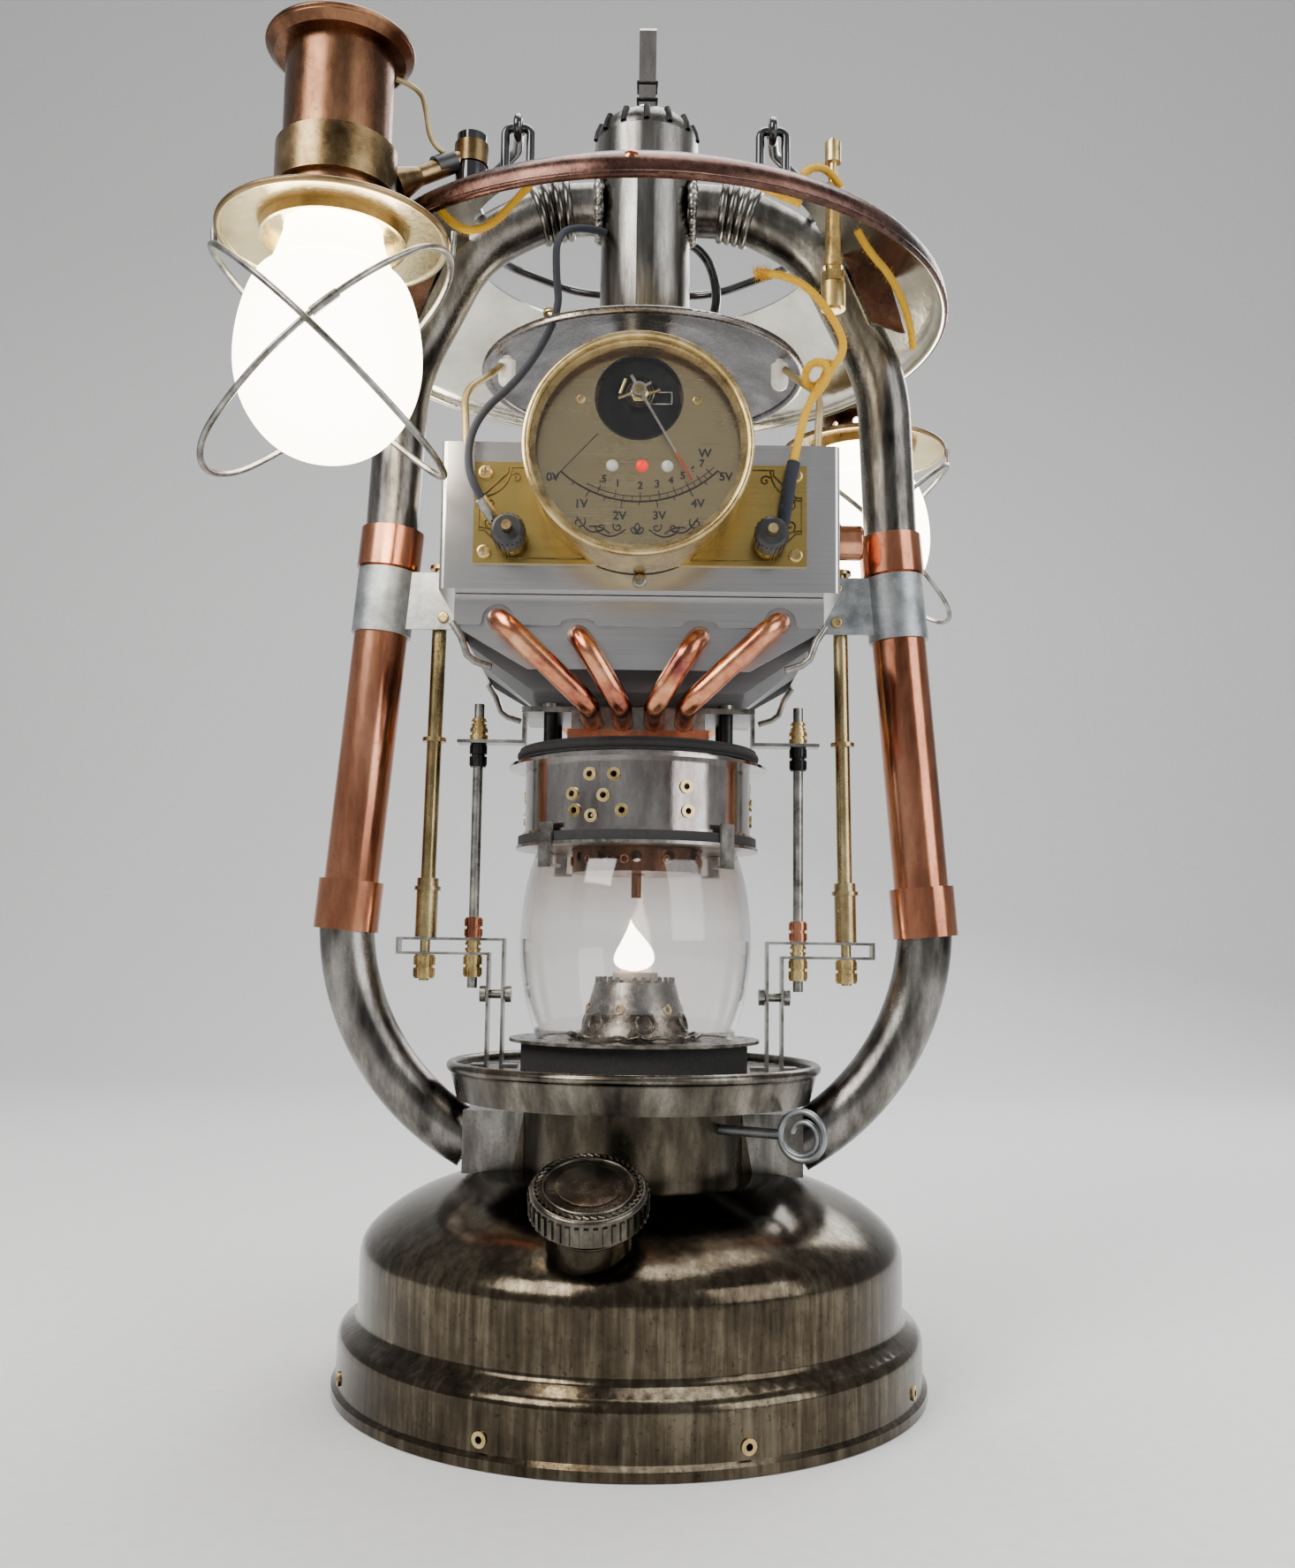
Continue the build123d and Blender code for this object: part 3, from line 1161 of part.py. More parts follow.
def clamp_bands():
    """Galvanised bands round the copper sleeves, with the tabs that carry the case."""
    pieces = []
    for side in (-1, 1):
        low = BAND_LOW_Z - ELBOW_TOP_Z
        high = BAND_TOP_Z - ELBOW_TOP_Z
        rear = BAND_TAB_Y + BAND_T / 2
        band = sleeve_place() * ring(TUBE_R + BAND_T, TUBE_R + SEAT_GAP, low, high)
        span = (CASING_HALF_W + 0.4, SLEEVE_TOP_X - 2)
        tab = block(span, (rear - BAND_T, rear), (BAND_LOW_Z + 1, BAND_TOP_Z - 1.2))
        fold = (CASING_HALF_W, CASING_HALF_W + BAND_T)
        foot = block(fold, (BAND_TAB_Y - 7, rear), (CASING_LOW_Z + 0.5, BAND_TOP_Z))
        band += tab + foot
        band -= sleeve_place() * disc(TUBE_R + SEAT_GAP, 0, sleeve_length())
        pieces.append(on_side(side, band))
    return group(*pieces)


def column():
    """Chimney tube with its front bar, and the domed crown over it."""
    upper = ring(COLUMN_R, COLUMN_R - COLUMN_WALL, STEEL_CAP_TOP_Z - 1.0, COLUMN_TOP_Z)
    lower = ring(COLUMN_LOW_R, COLUMN_LOW_R - COLUMN_WALL, CASING_TOP_Z, STEEL_CAP_TOP_Z)
    step = ring(COLUMN_R, COLUMN_LOW_R - COLUMN_WALL, STEEL_CAP_TOP_Z - 1.0, STEEL_CAP_TOP_Z + 0.4)
    bar = block((-2.6, 2.6), (-COLUMN_R - 3.4, -COLUMN_R + 0.9), (STEEL_CAP_TOP_Z - 1.0, COLUMN_TOP_Z - 1))
    tube = upper + lower + step + bar
    shoulder = (CROWN_R, CROWN_SHOULDER_Z)
    apex = (0, CROWN_TOP_Z)
    dome = Spline(shoulder, (CROWN_R * 0.62, CROWN_TOP_Z - 3.0), apex, tangents=((0, 1), (-1, 0)))
    skirt = Polyline(
        apex,
        (0, CROWN_TOP_Z - CROWN_WALL),
        (2, CROWN_TOP_Z - CROWN_WALL),
        (CROWN_R - 4, CROWN_SHOULDER_Z),
        (CROWN_R - 4, COLUMN_TOP_Z),
        (CROWN_R, COLUMN_TOP_Z),
        shoulder,
    )
    crown = turned_edges(dome, skirt)
    return group(tube, crown)


def top_hook():
    """The flat strip bent over into a narrow eye, in its staple on the crown."""
    half_w = HOOK_WIDTH / 2
    low = CROWN_TOP_Z + SEAT_GAP
    strip = block((-half_w, half_w), (-HOOK_T * 1.5, HOOK_T * 1.5), (low, HOOK_TOP_Z))
    strip = fillet(strip.edges().filter_by(Axis.X).group_by(Axis.Z)[-1], HOOK_T * 1.4)
    strip -= block((-half_w - 1, half_w + 1), (-HOOK_T / 2, HOOK_T / 2), (low + 5.0, HOOK_TOP_Z - HOOK_T))
    foot = disc(4.6, low, low + 1.0)
    return strip + foot


def canopy_outline():
    """Half section of the canopy's upper side, from the lip up the cone and in to the hole."""
    slope = (CANOPY_TOP_Z - CANOPY_LIP_Z - 8.6) / (CANOPY_R - 5.0 - CANOPY_HOLE_R)
    half_width = (CANOPY_R - CANOPY_HOLE_R) / 2
    points = (
        (CANOPY_R, CANOPY_LIP_Z),
        (CANOPY_R - 0.9, CANOPY_LIP_Z + 5.2),
        (CANOPY_R - 5.0, CANOPY_LIP_Z + 8.6),
        (CANOPY_HOLE_R + half_width - 4.0, CANOPY_TOP_Z - slope * (half_width - 4.0)),
        (CANOPY_HOLE_R, CANOPY_TOP_Z),
    )
    return Spline(*points)


def canopy_height(radius):
    """Height of the canopy's upper side at one radius."""
    outline = canopy_outline()
    low, high = 0.0, 1.0
    for _ in range(40):
        middle = (low + high) / 2
        if (outline @ middle).X > radius:
            low = middle
        else:
            high = middle
    return (outline @ middle).Y


def canopy_solid():
    """The canopy alone, as a thin dished ring with a rolled lip."""
    outer = canopy_outline()
    wall = CANOPY_WALL
    moved = Pos(-wall * 0.7, -wall) * outer
    rim = Line(outer @ 1, moved @ 1)
    lip = Line(moved @ 0, outer @ 0)
    dish = revolve(Plane.XZ * make_face(Curve() + [outer, rim, moved, lip]), Axis.Z)
    return dish + torus(CANOPY_R - 0.6, 1.0, CANOPY_LIP_Z)


def canopy():
    """The canopy, notched where the side tubes pass, and the tabs that hold it to them."""
    dish = canopy_solid()
    pieces = []
    notch_d = TUBE_R + SEAT_GAP
    for side in (-1, 1):
        dish -= on_side(side, arch(TUBE_R + SEAT_GAP, 0))
        notch_x = sorted((side * (CANOPY_HOLE_R - 4), side * (CANOPY_HOLE_R + 8)))
        dish -= block(notch_x, (-notch_d, notch_d), (CANOPY_TOP_Z - 9, CANOPY_TOP_Z + 9))
        corners = [(x, 0, CANOPY_LIP_Z + height) for x, height in CANOPY_TAB_CORNERS]
        tab = extrude(make_face(Polyline(*corners, close=True)), amount=CANOPY_TAB_T / 2, both=True)
        tab = Pos(0, -notch_d - CANOPY_TAB_T / 2, 0) * tab - dish
        pieces.append(on_side(side, tab.solids().sort_by(SortBy.VOLUME)[-1]))
    surface = canopy_height(math.hypot(TERMINAL_X, TERMINAL_Y))
    dish -= Pos(TERMINAL_X, TERMINAL_Y, surface) * Cylinder(TERMINAL_R + SEAT_GAP, 12)
    return group(dish, *pieces)


def canopy_ears():
    """Wire staples for the bail, and the two studs that the lamp arms turn on."""
    cut = Pos(0, 0, SEAT_GAP) * canopy_solid()
    pieces = []
    for side in (-1, 1):
        half = EAR_SPAN / 2
        height = canopy_height(math.hypot(EAR_X, EAR_Y)) - 3.5
        points = (
            (EAR_X - half, EAR_Y, height),
            (EAR_X - half, EAR_Y, EAR_TOP_Z),
            (EAR_X + half, EAR_Y, EAR_TOP_Z),
            (EAR_X + half, EAR_Y, height),
        )
        staple = wire_round(FilletPolyline(*points, radius=2.0), EAR_WIRE_R) - cut
        staple = staple.solids().sort_by(Axis.Z)[-1]
        pieces.append(on_side(side, staple))
    x, y = PIVOT
    base = canopy_height(math.hypot(x, y))
    stud = disc(STUD_R, base - 3, STUD_TOP_Z)
    stud += disc(ARM_EYE_R - 0.4, base - 3, ARM_EYE_LOW_Z - LOOSE_GAP)
    stud += disc(ARM_EYE_R - 0.6, ARM_EYE_TOP_Z + LOOSE_GAP, STUD_TOP_Z + 1.2)
    stud = Pos(x, y, 0) * stud - cut
    stud = stud.solids().sort_by(Axis.Z)[-1]
    pieces += [stud, half_turn(stud)]
    return group(*pieces)


def bail_handle():
    """The wire carrying bail, with an eye at each end round its staple's top bar."""
    eye_r = EAR_WIRE_R + LOOSE_GAP + BAIL_WIRE_R * 0.8
    half = BAIL_HALF_W
    start = eye_r
    points = (
        (-EAR_X, start, 0),
        (-EAR_X - 1.5, 14, 0),
        (-half, 44, 0),
        (-half + 2, 98, 0),
        (-24, BAIL_REACH, 0),
        (24, BAIL_REACH, 0),
        (half - 2, 98, 0),
        (half, 44, 0),
        (EAR_X + 1.5, 14, 0),
        (EAR_X, start, 0),
    )
    radii = [12.0, 22.0, 30.0, 24.0, 24.0, 30.0, 22.0, 12.0]
    wire = wire_round(FilletPolyline(*points, radius=radii), BAIL_WIRE_R)
    for side in (-1, 1):
        wire += Pos(side * EAR_X, 0, 0) * Rot(0, 90, 0) * Torus(eye_r, BAIL_WIRE_R * 0.8)
    return Pos(0, EAR_Y, EAR_TOP_Z) * Rot(BAIL_RISE, 0, 0) * wire


def steel_cap_height(radius):
    """Height of the steel cap's upper side at one radius."""
    share = (STEEL_CAP_R - radius) / (STEEL_CAP_R - COLUMN_R)
    return STEEL_CAP_RIM_Z + (STEEL_CAP_TOP_Z - STEEL_CAP_RIM_Z) * math.sin(share * math.pi / 2)


def steel_cap():
    """The dished cap over the case, its rolled rim and the hole for the black lead."""
    count = 8
    width = STEEL_CAP_R - COLUMN_LOW_R - SEAT_GAP
    top = []
    for number in range(count + 1):
        radius = STEEL_CAP_R - width * number / count
        height = steel_cap_height(max(radius, COLUMN_R))
        top.append((radius, min(height, STEEL_CAP_TOP_Z - 1.0)))
    low = [(radius, height - STEEL_CAP_WALL) for radius, height in reversed(top)]
    cap = turned(*top, *low)
    cap += torus(STEEL_CAP_R - 0.4, 1.2, STEEL_CAP_RIM_Z - 0.4)
    cap -= wire_round(lead_path(BLACK_LEAD_POINTS), LEAD_R + 0.5)
    return cap


# Struts at each side of the globe
def struts():
    """Telescopic brass tubes outside, threaded rods inside, one of each on both sides."""
    pieces = []
    for side in (-1, 1):
        top = (OUTER_STRUT_TOP_X, 0, OUTER_STRUT_TOP_Z)
        joint = strut_point(STRAP_TOP_Z + 18.2)
        seat = strut_point(STRAP_TOP_Z + STRAP_T + SEAT_GAP)
        strut = rod(joint, top, OUTER_TUBE_R) + rod(seat, joint, OUTER_SLEEVE_R)
        strut += rod(strut_point(STRUT_LOW_Z), strut_point(STRAP_TOP_Z + 3), ROD_R)
        for z, radius in ((STRAP_TOP_Z + 15.2, 3.9), (ARM_Z + 1.0, 3.6), (OUTER_STRUT_TOP_Z - 1.0, 3.6)):
            strut += rod(strut_point(z - 0.6), strut_point(z + 0.6), radius)
        pieces.append(on_side(side, strut))
        threaded = disc(ROD_R, STRUT_LOW_Z - 2.0, INNER_STRUT_TOP_Z)
        pieces.append(Pos(side * INNER_STRUT_X, 0, 0) * threaded)
    return group(*pieces)


def strut_point(z):
    """A point on the right outer strut's leaning axis."""
    share = (z - STRUT_LOW_Z) / (OUTER_STRUT_TOP_Z - STRUT_LOW_Z)
    return (OUTER_STRUT_LOW_X + (OUTER_STRUT_TOP_X - OUTER_STRUT_LOW_X) * share, 0, z)


def knurled_nut(radius, bore, low, high):
    """A brass nut with a straight knurl and a waist."""
    nut = ring(radius - 0.25, bore, low, high)
    rib = block((radius - 0.5, radius), (-0.3, 0.3), (low + 0.5, high - 0.5))
    for number in range(16):
        nut += Rot(0, 0, 22.5 * number) * rib
    return nut - ring(radius + 1, radius - 0.6, (low + high) / 2 - 0.4, (low + high) / 2 + 0.4)


def strut_nuts(side):
    """The nuts and spacers on one side's rods, and the bolt through the bracket's legs."""
    bore = ROD_R + SEAT_GAP
    spans = (
        (2.7, ARM_Z + 1.0, ARM_Z + 5.0),
        (2.3, ARM_Z + 5.0, ARM_Z + 7.6),
        (2.6, ARM_Z - 7.0, ARM_Z),
        (2.7, STRAP_TOP_Z + STRAP_T, STRAP_TOP_Z + STRAP_T + 6.0),
        (2.4, STRAP_LOW_Z + STRAP_T, STRAP_TOP_Z),
        (2.8, STRAP_LOW_Z - 6.4, STRAP_LOW_Z),
    )
    pieces = []
    for radius, low, high in spans:
        pieces.append(Pos(side * INNER_STRUT_X, 0, 0) * knurled_nut(radius, bore, low, high))
    low = Vector(*strut_point(STRUT_LOW_Z + 0.6))
    axis = Vector(*strut_point(STRAP_LOW_Z)) - low
    foot = Plane(origin=low, x_dir=(0, 1, 0), z_dir=axis) * knurled_nut(3.2, bore, 0, axis.length - SEAT_GAP)
    pieces.append(on_side(side, foot))
    bolt = Pos(BOLT_X, 0, BOLT_Z) * Rot(0, 90, 0)
    shank = bolt * disc(BOLT_R, -4.4, 4.4)
    shank += bolt * disc(2.4, -4.6, -2.9) + bolt * disc(2.4, 2.9, 4.6)
    pieces.append(on_side(side, shank))
    return pieces


def strut_brackets():
    """Bent strips that tie the struts to the tray's deck."""
    pieces = []
    half = STRAP_WIDTH / 2
    for side in (-1, 1):
        top = block((STRAP_IN_X - 0.9, STRAP_OUT_X), (-half, half), (STRAP_TOP_Z, STRAP_TOP_Z + STRAP_T))
        end = block((STRAP_OUT_X, STRAP_OUT_X + STRAP_T), (-half, half), (STRAP_LOW_Z, STRAP_TOP_Z + STRAP_T))
        low = block((STRAP_IN_X + 2.7, STRAP_OUT_X), (-half, half), (STRAP_LOW_Z, STRAP_LOW_Z + STRAP_T))
        foot_top = DECK_Z + STRAP_T
        inner = (STRAP_IN_X - 1.7, STRAP_IN_X - 0.9)
        outer = (STRAP_IN_X + 2.7, STRAP_IN_X + 3.5)
        inner_leg = block(inner, (-half, half), (foot_top, STRAP_TOP_Z + STRAP_T))
        outer_leg = block(outer, (-half, half), (foot_top, STRAP_LOW_Z + STRAP_T))
        inner_foot = block((STRAP_IN_X - 6.0, STRAP_IN_X - 0.9), (-half, half), (DECK_Z, foot_top))
        outer_foot = block((STRAP_IN_X + 2.7, STRAP_IN_X + 7.4), (-half, half), (DECK_Z, foot_top))
        bracket = top + end + low + inner_leg + outer_leg + inner_foot + outer_foot
        bracket -= Pos(INNER_STRUT_X, 0, STRAP_TOP_Z) * Cylinder(ROD_R + SEAT_GAP, 14)
        bracket -= rod(strut_point(STRAP_LOW_Z - 6), strut_point(STRAP_TOP_Z + 6), ROD_R + SEAT_GAP)
        bracket -= Pos(BOLT_X, 0, BOLT_Z) * Rot(0, 90, 0) * Cylinder(BOLT_R + SEAT_GAP, 14)
        pieces.append(on_side(side, bracket))
    return group(*pieces)


# One swing lamp, made at the left. The right one is the same, turned half round.
def at_lamp(shape):
    return Pos(LAMP[0], LAMP[1], 0) * shape


def lamp_arm():
    """Strap ring round the lamp's socket, arm, and the eye that turns on the stud."""
    low = STRAP_RING_LOW_Z
    high = STRAP_RING_TOP_Z
    inner = LAMP_SOCKET_R + SEAT_GAP
    strap = ring(inner + STRAP_RING_T, inner, low, high)
    strap = at_lamp(strap)
    eye = Pos(PIVOT[0], PIVOT[1], 0) * ring(ARM_EYE_R, STUD_R - 0.5, ARM_EYE_LOW_Z, ARM_EYE_TOP_Z)
    unit = Vector(math.cos(ARM_ANGLE), math.sin(ARM_ANGLE), 0)
    near = ARM_REACH - LAMP_SOCKET_R - 1.0
    start = Vector(PIVOT[0], PIVOT[1], (ARM_EYE_LOW_Z + ARM_EYE_TOP_Z) / 2)
    end = start + unit * near
    end = Vector(end.X, end.Y, (low + high) / 2 + 1.0)
    bar = rod(tuple(start), tuple(end), ARM_ROD_R)
    flare_start = start + (end - start) * ((near - ARM_FLARE_L) / near)
    cone_axis = end - flare_start
    flare_body = Cone(ARM_ROD_R, ARM_FLARE_R, cone_axis.length, align=(Align.CENTER, Align.CENTER, Align.MIN))
    flare_body = Plane(origin=flare_start, z_dir=cone_axis) * flare_body
    arm = strap + eye + bar + flare_body
    arm -= Pos(PIVOT[0], PIVOT[1], 0) * disc(STUD_R + RUN_GAP, ARM_EYE_LOW_Z - 4, ARM_EYE_TOP_Z + 4)
    arm -= Pos(PIVOT[0], PIVOT[1], 0) * disc(ARM_EYE_R, ARM_EYE_LOW_Z - 9, ARM_EYE_LOW_Z)
    arm -= Pos(PIVOT[0], PIVOT[1], 0) * disc(ARM_EYE_R, ARM_EYE_TOP_Z, ARM_EYE_TOP_Z + 9)
    arm -= at_lamp(disc(inner, low - 9, high + 9))
    return arm


def lamp_socket():
    """Copper socket tube with vent holes below, and the dished hat on its top."""
    tube = ring(LAMP_SOCKET_R, LAMP_SOCKET_R - LAMP_SOCKET_WALL, LAMP_SOCKET_LOW_Z, HAT_Z)
    for number in range(10):
        place = Rot(0, 0, 36 * number) * Pos(LAMP_SOCKET_R, 0, LAMP_SOCKET_LOW_Z + 5.0) * Rot(0, 90, 0)
        tube -= place * Cylinder(1.3, 6)
    hat = turned(
        (0, HAT_Z),
        (HAT_R - 2.0, HAT_Z),
        (HAT_R, HAT_Z + 1.8),
        (HAT_R, HAT_Z + 3.0),
        (HAT_R - 2.6, HAT_Z + 1.1),
        (0, HAT_Z + 1.1),
    )
    hat += torus(HAT_R - 0.5, 0.9, HAT_Z + 2.8)
    seat = disc(LAMP_SOCKET_R, HAT_Z - 1.0, HAT_Z + 0.2)
    return at_lamp(tube + hat + seat)


def lamp_shade():
    """The dished shade: brass outside, white inside, with a raised ring round the bulb."""
    neck = LAMP_SOCKET_R - 0.2
    top = LAMP_SOCKET_LOW_Z
    rim = SHADE_RIM_Z
    wall = SHADE_WALL
    dish = turned(
        (BULB_NECK_R + LOOSE_GAP, top - wall),
        (BULB_NECK_R + LOOSE_GAP, top),
        (neck + 3.0, top),
        (SHADE_R - 1.0, rim + wall),
        (SHADE_R, rim),
        (SHADE_R - 1.4, rim),
        (neck + 3.0, top - wall),
    )
    dish += torus(SHADE_R - 0.4, 0.9, rim + 0.2)
    dish += ring(BULB_NECK_R + 6.2, BULB_NECK_R + 5.4, rim - 1.2, top - wall + 0.1)
    return at_lamp(dish)


def bulb_form(inset):
    """The bulb's glass as one turned body, drawn in all round by an inset."""
    glass = Spline(
        (0, BULB_LOW_Z + inset),
        (BULB_R * 0.72 - inset * 0.7, BULB_LOW_Z + 7.4 + inset * 0.7),
        (BULB_R - inset, BULB_Z),
        (BULB_R * 0.79 - inset, SHADE_RIM_Z - 12.0),
        (BULB_NECK_R - inset, SHADE_RIM_Z + 1.0),
        tangents=((1, 0), (-0.25, 1)),
    )
    neck_r = BULB_NECK_R - inset
    top = BULB_TOP_Z - inset
    close = Polyline((neck_r, SHADE_RIM_Z + 1.0), (neck_r, top), (0, top), (0, BULB_LOW_Z + inset))
    return turned_edges(glass, close)


def lamp_bulb():
    """Opal drop-shaped bulb, hollow, and its screw base up inside the socket."""
    body = bulb_form(0) - bulb_form(BULB_WALL)
    body += disc(BULB_NECK_R + LOOSE_GAP / 3, BULB_TOP_Z - 4, BULB_TOP_Z)
    body += disc(4.0, BULB_TOP_Z, HAT_Z - 1.0)
    return at_lamp(body)


def hoop(short_r, tilt):
    """One oval wire hoop of the bulb's guard, in four arcs, leaning one way."""
    end_x = HOOP_LONG_R - HOOP_END_R
    rise = short_r - HOOP_END_R
    drop = (end_x ** 2 - rise ** 2) / (2 * rise)
    joint = math.degrees(math.atan2(drop, end_x))
    flat = 2 * (90 - joint)
    upper = CenterArc((0, -drop), short_r + drop, joint, flat)
    left = CenterArc((-end_x, 0), HOOP_END_R, 180 - joint, 2 * joint)
    lower = CenterArc((0, drop), short_r + drop, 180 + joint, flat)
    right = CenterArc((end_x, 0), HOOP_END_R, -joint, 2 * joint)
    pieces = [wire_round(arc, HOOP_WIRE_R) for arc in (upper, left, lower, right)]
    return Rot(0, tilt, 0) * (pieces[0] + pieces[1] + pieces[2] + pieces[3])


def lamp_guard():
    """Two oval wire hoops that cross in front of the bulb and behind it, and their two hooks."""
    end_x = HOOP_LONG_R * math.cos(math.radians(HOOP_TILT))
    end_z = HOOP_LONG_R * math.sin(math.radians(HOOP_TILT)) + HOOP_WIRE_R
    hook_x = SHADE_R + 0.5 + HOOP_WIRE_R + LOOSE_GAP
    hook_z = SHADE_RIM_Z - HOOP_Z
    pieces = [hoop(HOOP_SHORT_R, HOOP_TILT)]
    pieces.append(hoop(HOOP_SHORT_R - 2 * HOOP_WIRE_R - SEAT_GAP, -HOOP_TILT))
    for side in (-1, 1):
        foot = (side * (end_x + HOOP_WIRE_R / 2), 0, end_z + SEAT_GAP)
        pieces.append(rod(foot, (side * (hook_x + SEAT_GAP), 0, hook_z + 2.2), HOOP_WIRE_R))
    return at_lamp(Pos(0, 0, HOOP_Z) * group(*pieces))


# Leads
def lead_radii(points):
    """Bend radius at each corner of a lead's path, from the shorter run beside it."""
    radii = []
    for before, corner, after in zip(points, points[1:], points[2:]):
        first = Vector(*corner) - Vector(*before)
        second = Vector(*after) - Vector(*corner)
        turn = math.radians(first.get_angle(second))
        shorter = min(first.length, second.length)
        radii.append(0.45 * shorter / math.tan(turn / 2))
    return radii


def lead_path(points):
    return FilletPolyline(*points, radius=lead_radii(points))


def leads():
    """Cloth-covered leads: to both terminals, to the cap's lamps and inside the canopy."""
    pieces = []
    for points, radius in LEADS:
        pieces.append(wire_round(lead_path(points), radius))
    return group(*pieces)


PIECES = {
    "tank_shell": tank_shell,
    "tank_bottom": tank_bottom,
    "brass_eyelets": brass_eyelets,
    "filler_neck": filler_neck,
    "filler_cap": filler_cap,
    "cap_seal": cap_seal,
    "neck_drum": neck_drum,
    "tray": tray,
    "fibre_gaskets": fibre_gaskets,
    "burner_base": burner_base,
    "burner_cone": burner_cone,
    "wick": wick,
    "wick_raiser": wick_raiser,
    "globe": globe,
    "clip_ring": clip_ring,
    "fire_drum": fire_drum,
    "deflector_cup": deflector_cup,
    "teg_module": teg_module,
    "cold_block": cold_block,
    "heat_pipes": heat_pipes,
    "cooling_fins": cooling_fins,
    "clamp_bar": clamp_bar,
    "casing": casing,
    "power_board": power_board,
    "face_plate": face_plate,
    "brass_fasteners": brass_fasteners,
    "meter_can": meter_can,
    "meter_glass": meter_glass,
    "meter_dial": meter_dial,
    "meter_movement": meter_movement,
    "meter_needle": meter_needle,
    "indicator_lamps": indicator_lamps,
    "terminals": terminals,
    "switch_knob": switch_knob,
    "lower_tubes": lower_tubes,
    "copper_sleeves": copper_sleeves,
    "tube_collars": tube_collars,
    "upper_tubes": upper_tubes,
    "clamp_bands": clamp_bands,
    "column": column,
    "top_hook": top_hook,
    "canopy": canopy,
    "canopy_ears": canopy_ears,
    "bail_handle": bail_handle,
    "steel_cap": steel_cap,
    "struts": struts,
    "strut_brackets": strut_brackets,
    "leads": leads,
}
LAMP_PIECES = {
    "arm": lamp_arm,
    "socket": lamp_socket,
    "shade": lamp_shade,
    "bulb": lamp_bulb,
    "guard": lamp_guard,
}

os.makedirs("parts", exist_ok=True)
for name, make in PIECES.items():
    export_step(make(), f"parts/{name}.step")
for side, word in ((-1, "left"), (1, "right")):
    export_step(post_knob(side), f"parts/post_knob_{word}.step")
for name, make in LAMP_PIECES.items():
    shape = make()
    export_step(shape, f"parts/lamp_{name}_left.step")
    export_step(half_turn(shape), f"parts/lamp_{name}_right.step")
for points, radius in LEADS:
    print("lead radius", radius, "bends", [round(bend, 2) for bend in lead_radii(points)])
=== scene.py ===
import math
import random

import bmesh
import bpy
from mathutils import Matrix, Vector


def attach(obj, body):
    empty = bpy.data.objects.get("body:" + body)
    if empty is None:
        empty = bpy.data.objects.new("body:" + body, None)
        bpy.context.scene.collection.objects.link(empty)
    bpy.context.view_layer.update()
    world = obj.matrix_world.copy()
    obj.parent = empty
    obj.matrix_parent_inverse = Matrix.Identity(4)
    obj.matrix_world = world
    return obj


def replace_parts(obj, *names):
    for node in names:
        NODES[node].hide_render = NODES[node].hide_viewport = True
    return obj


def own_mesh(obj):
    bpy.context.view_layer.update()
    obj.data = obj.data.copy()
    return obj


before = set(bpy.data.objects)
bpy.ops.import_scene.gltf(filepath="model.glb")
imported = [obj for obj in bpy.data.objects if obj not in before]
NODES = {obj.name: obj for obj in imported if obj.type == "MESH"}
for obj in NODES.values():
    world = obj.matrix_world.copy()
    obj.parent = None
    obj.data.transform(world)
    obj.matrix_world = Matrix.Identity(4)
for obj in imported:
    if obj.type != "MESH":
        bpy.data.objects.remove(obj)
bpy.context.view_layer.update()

random.seed(7)
scene = bpy.context.scene
MM = 0.001

# Places shared with the CAD, in metres
METER = Vector((-0.0006, -0.051, 0.2492))
METER_DEPTH = 0.0215
DIAL_SINK = 0.0062
DIAL_Y = METER.y - (METER_DEPTH - DIAL_SINK)
PIVOT_UP = 0.0156
PLATE_Y = -0.051
CASING_BACK_Y = 0.0500
LAMP = {"left": Vector((-0.0795, -0.0765, 0)), "right": Vector((0.0795, 0.0765, 0))}


def add_object(name, data):
    obj = bpy.data.objects.new(name, data)
    scene.collection.objects.link(obj)
    return obj


# Camera, at the photo's angle and with the photo's slight lean
CAMERA_PLACE = (0.0029, -0.424, 0.1195)
LOOK_UP = 6.79
LEAN = 0.755
LENS_PIXELS = 1617.0
PHOTO_HEIGHT = 1775.0
SENSOR = 36.0
camera_data = bpy.data.cameras.new("camera")
camera = add_object("camera", camera_data)
camera.location = CAMERA_PLACE
pitch = Matrix.Rotation(math.radians(90 + LOOK_UP), 3, "X")
roll = Matrix.Rotation(math.radians(LEAN), 3, "Z")
camera.rotation_euler = (pitch @ roll).to_euler()
camera_data.sensor_fit = "AUTO"
camera_data.sensor_width = SENSOR
camera_data.lens = LENS_PIXELS / PHOTO_HEIGHT * SENSOR
camera_data.clip_start = 0.01
scene.camera = camera

# Materials, kept here by name
PAINT = {}
SOCKETS = {
    "color": "Base Color", "rough": "Roughness", "metal": "Metallic", "normal": "Normal",
    "coat": "Coat Weight", "glow": "Emission Color", "glow_power": "Emission Strength",
    "transmission": "Transmission Weight", "ior": "IOR", "sheen": "Sheen Weight",
}


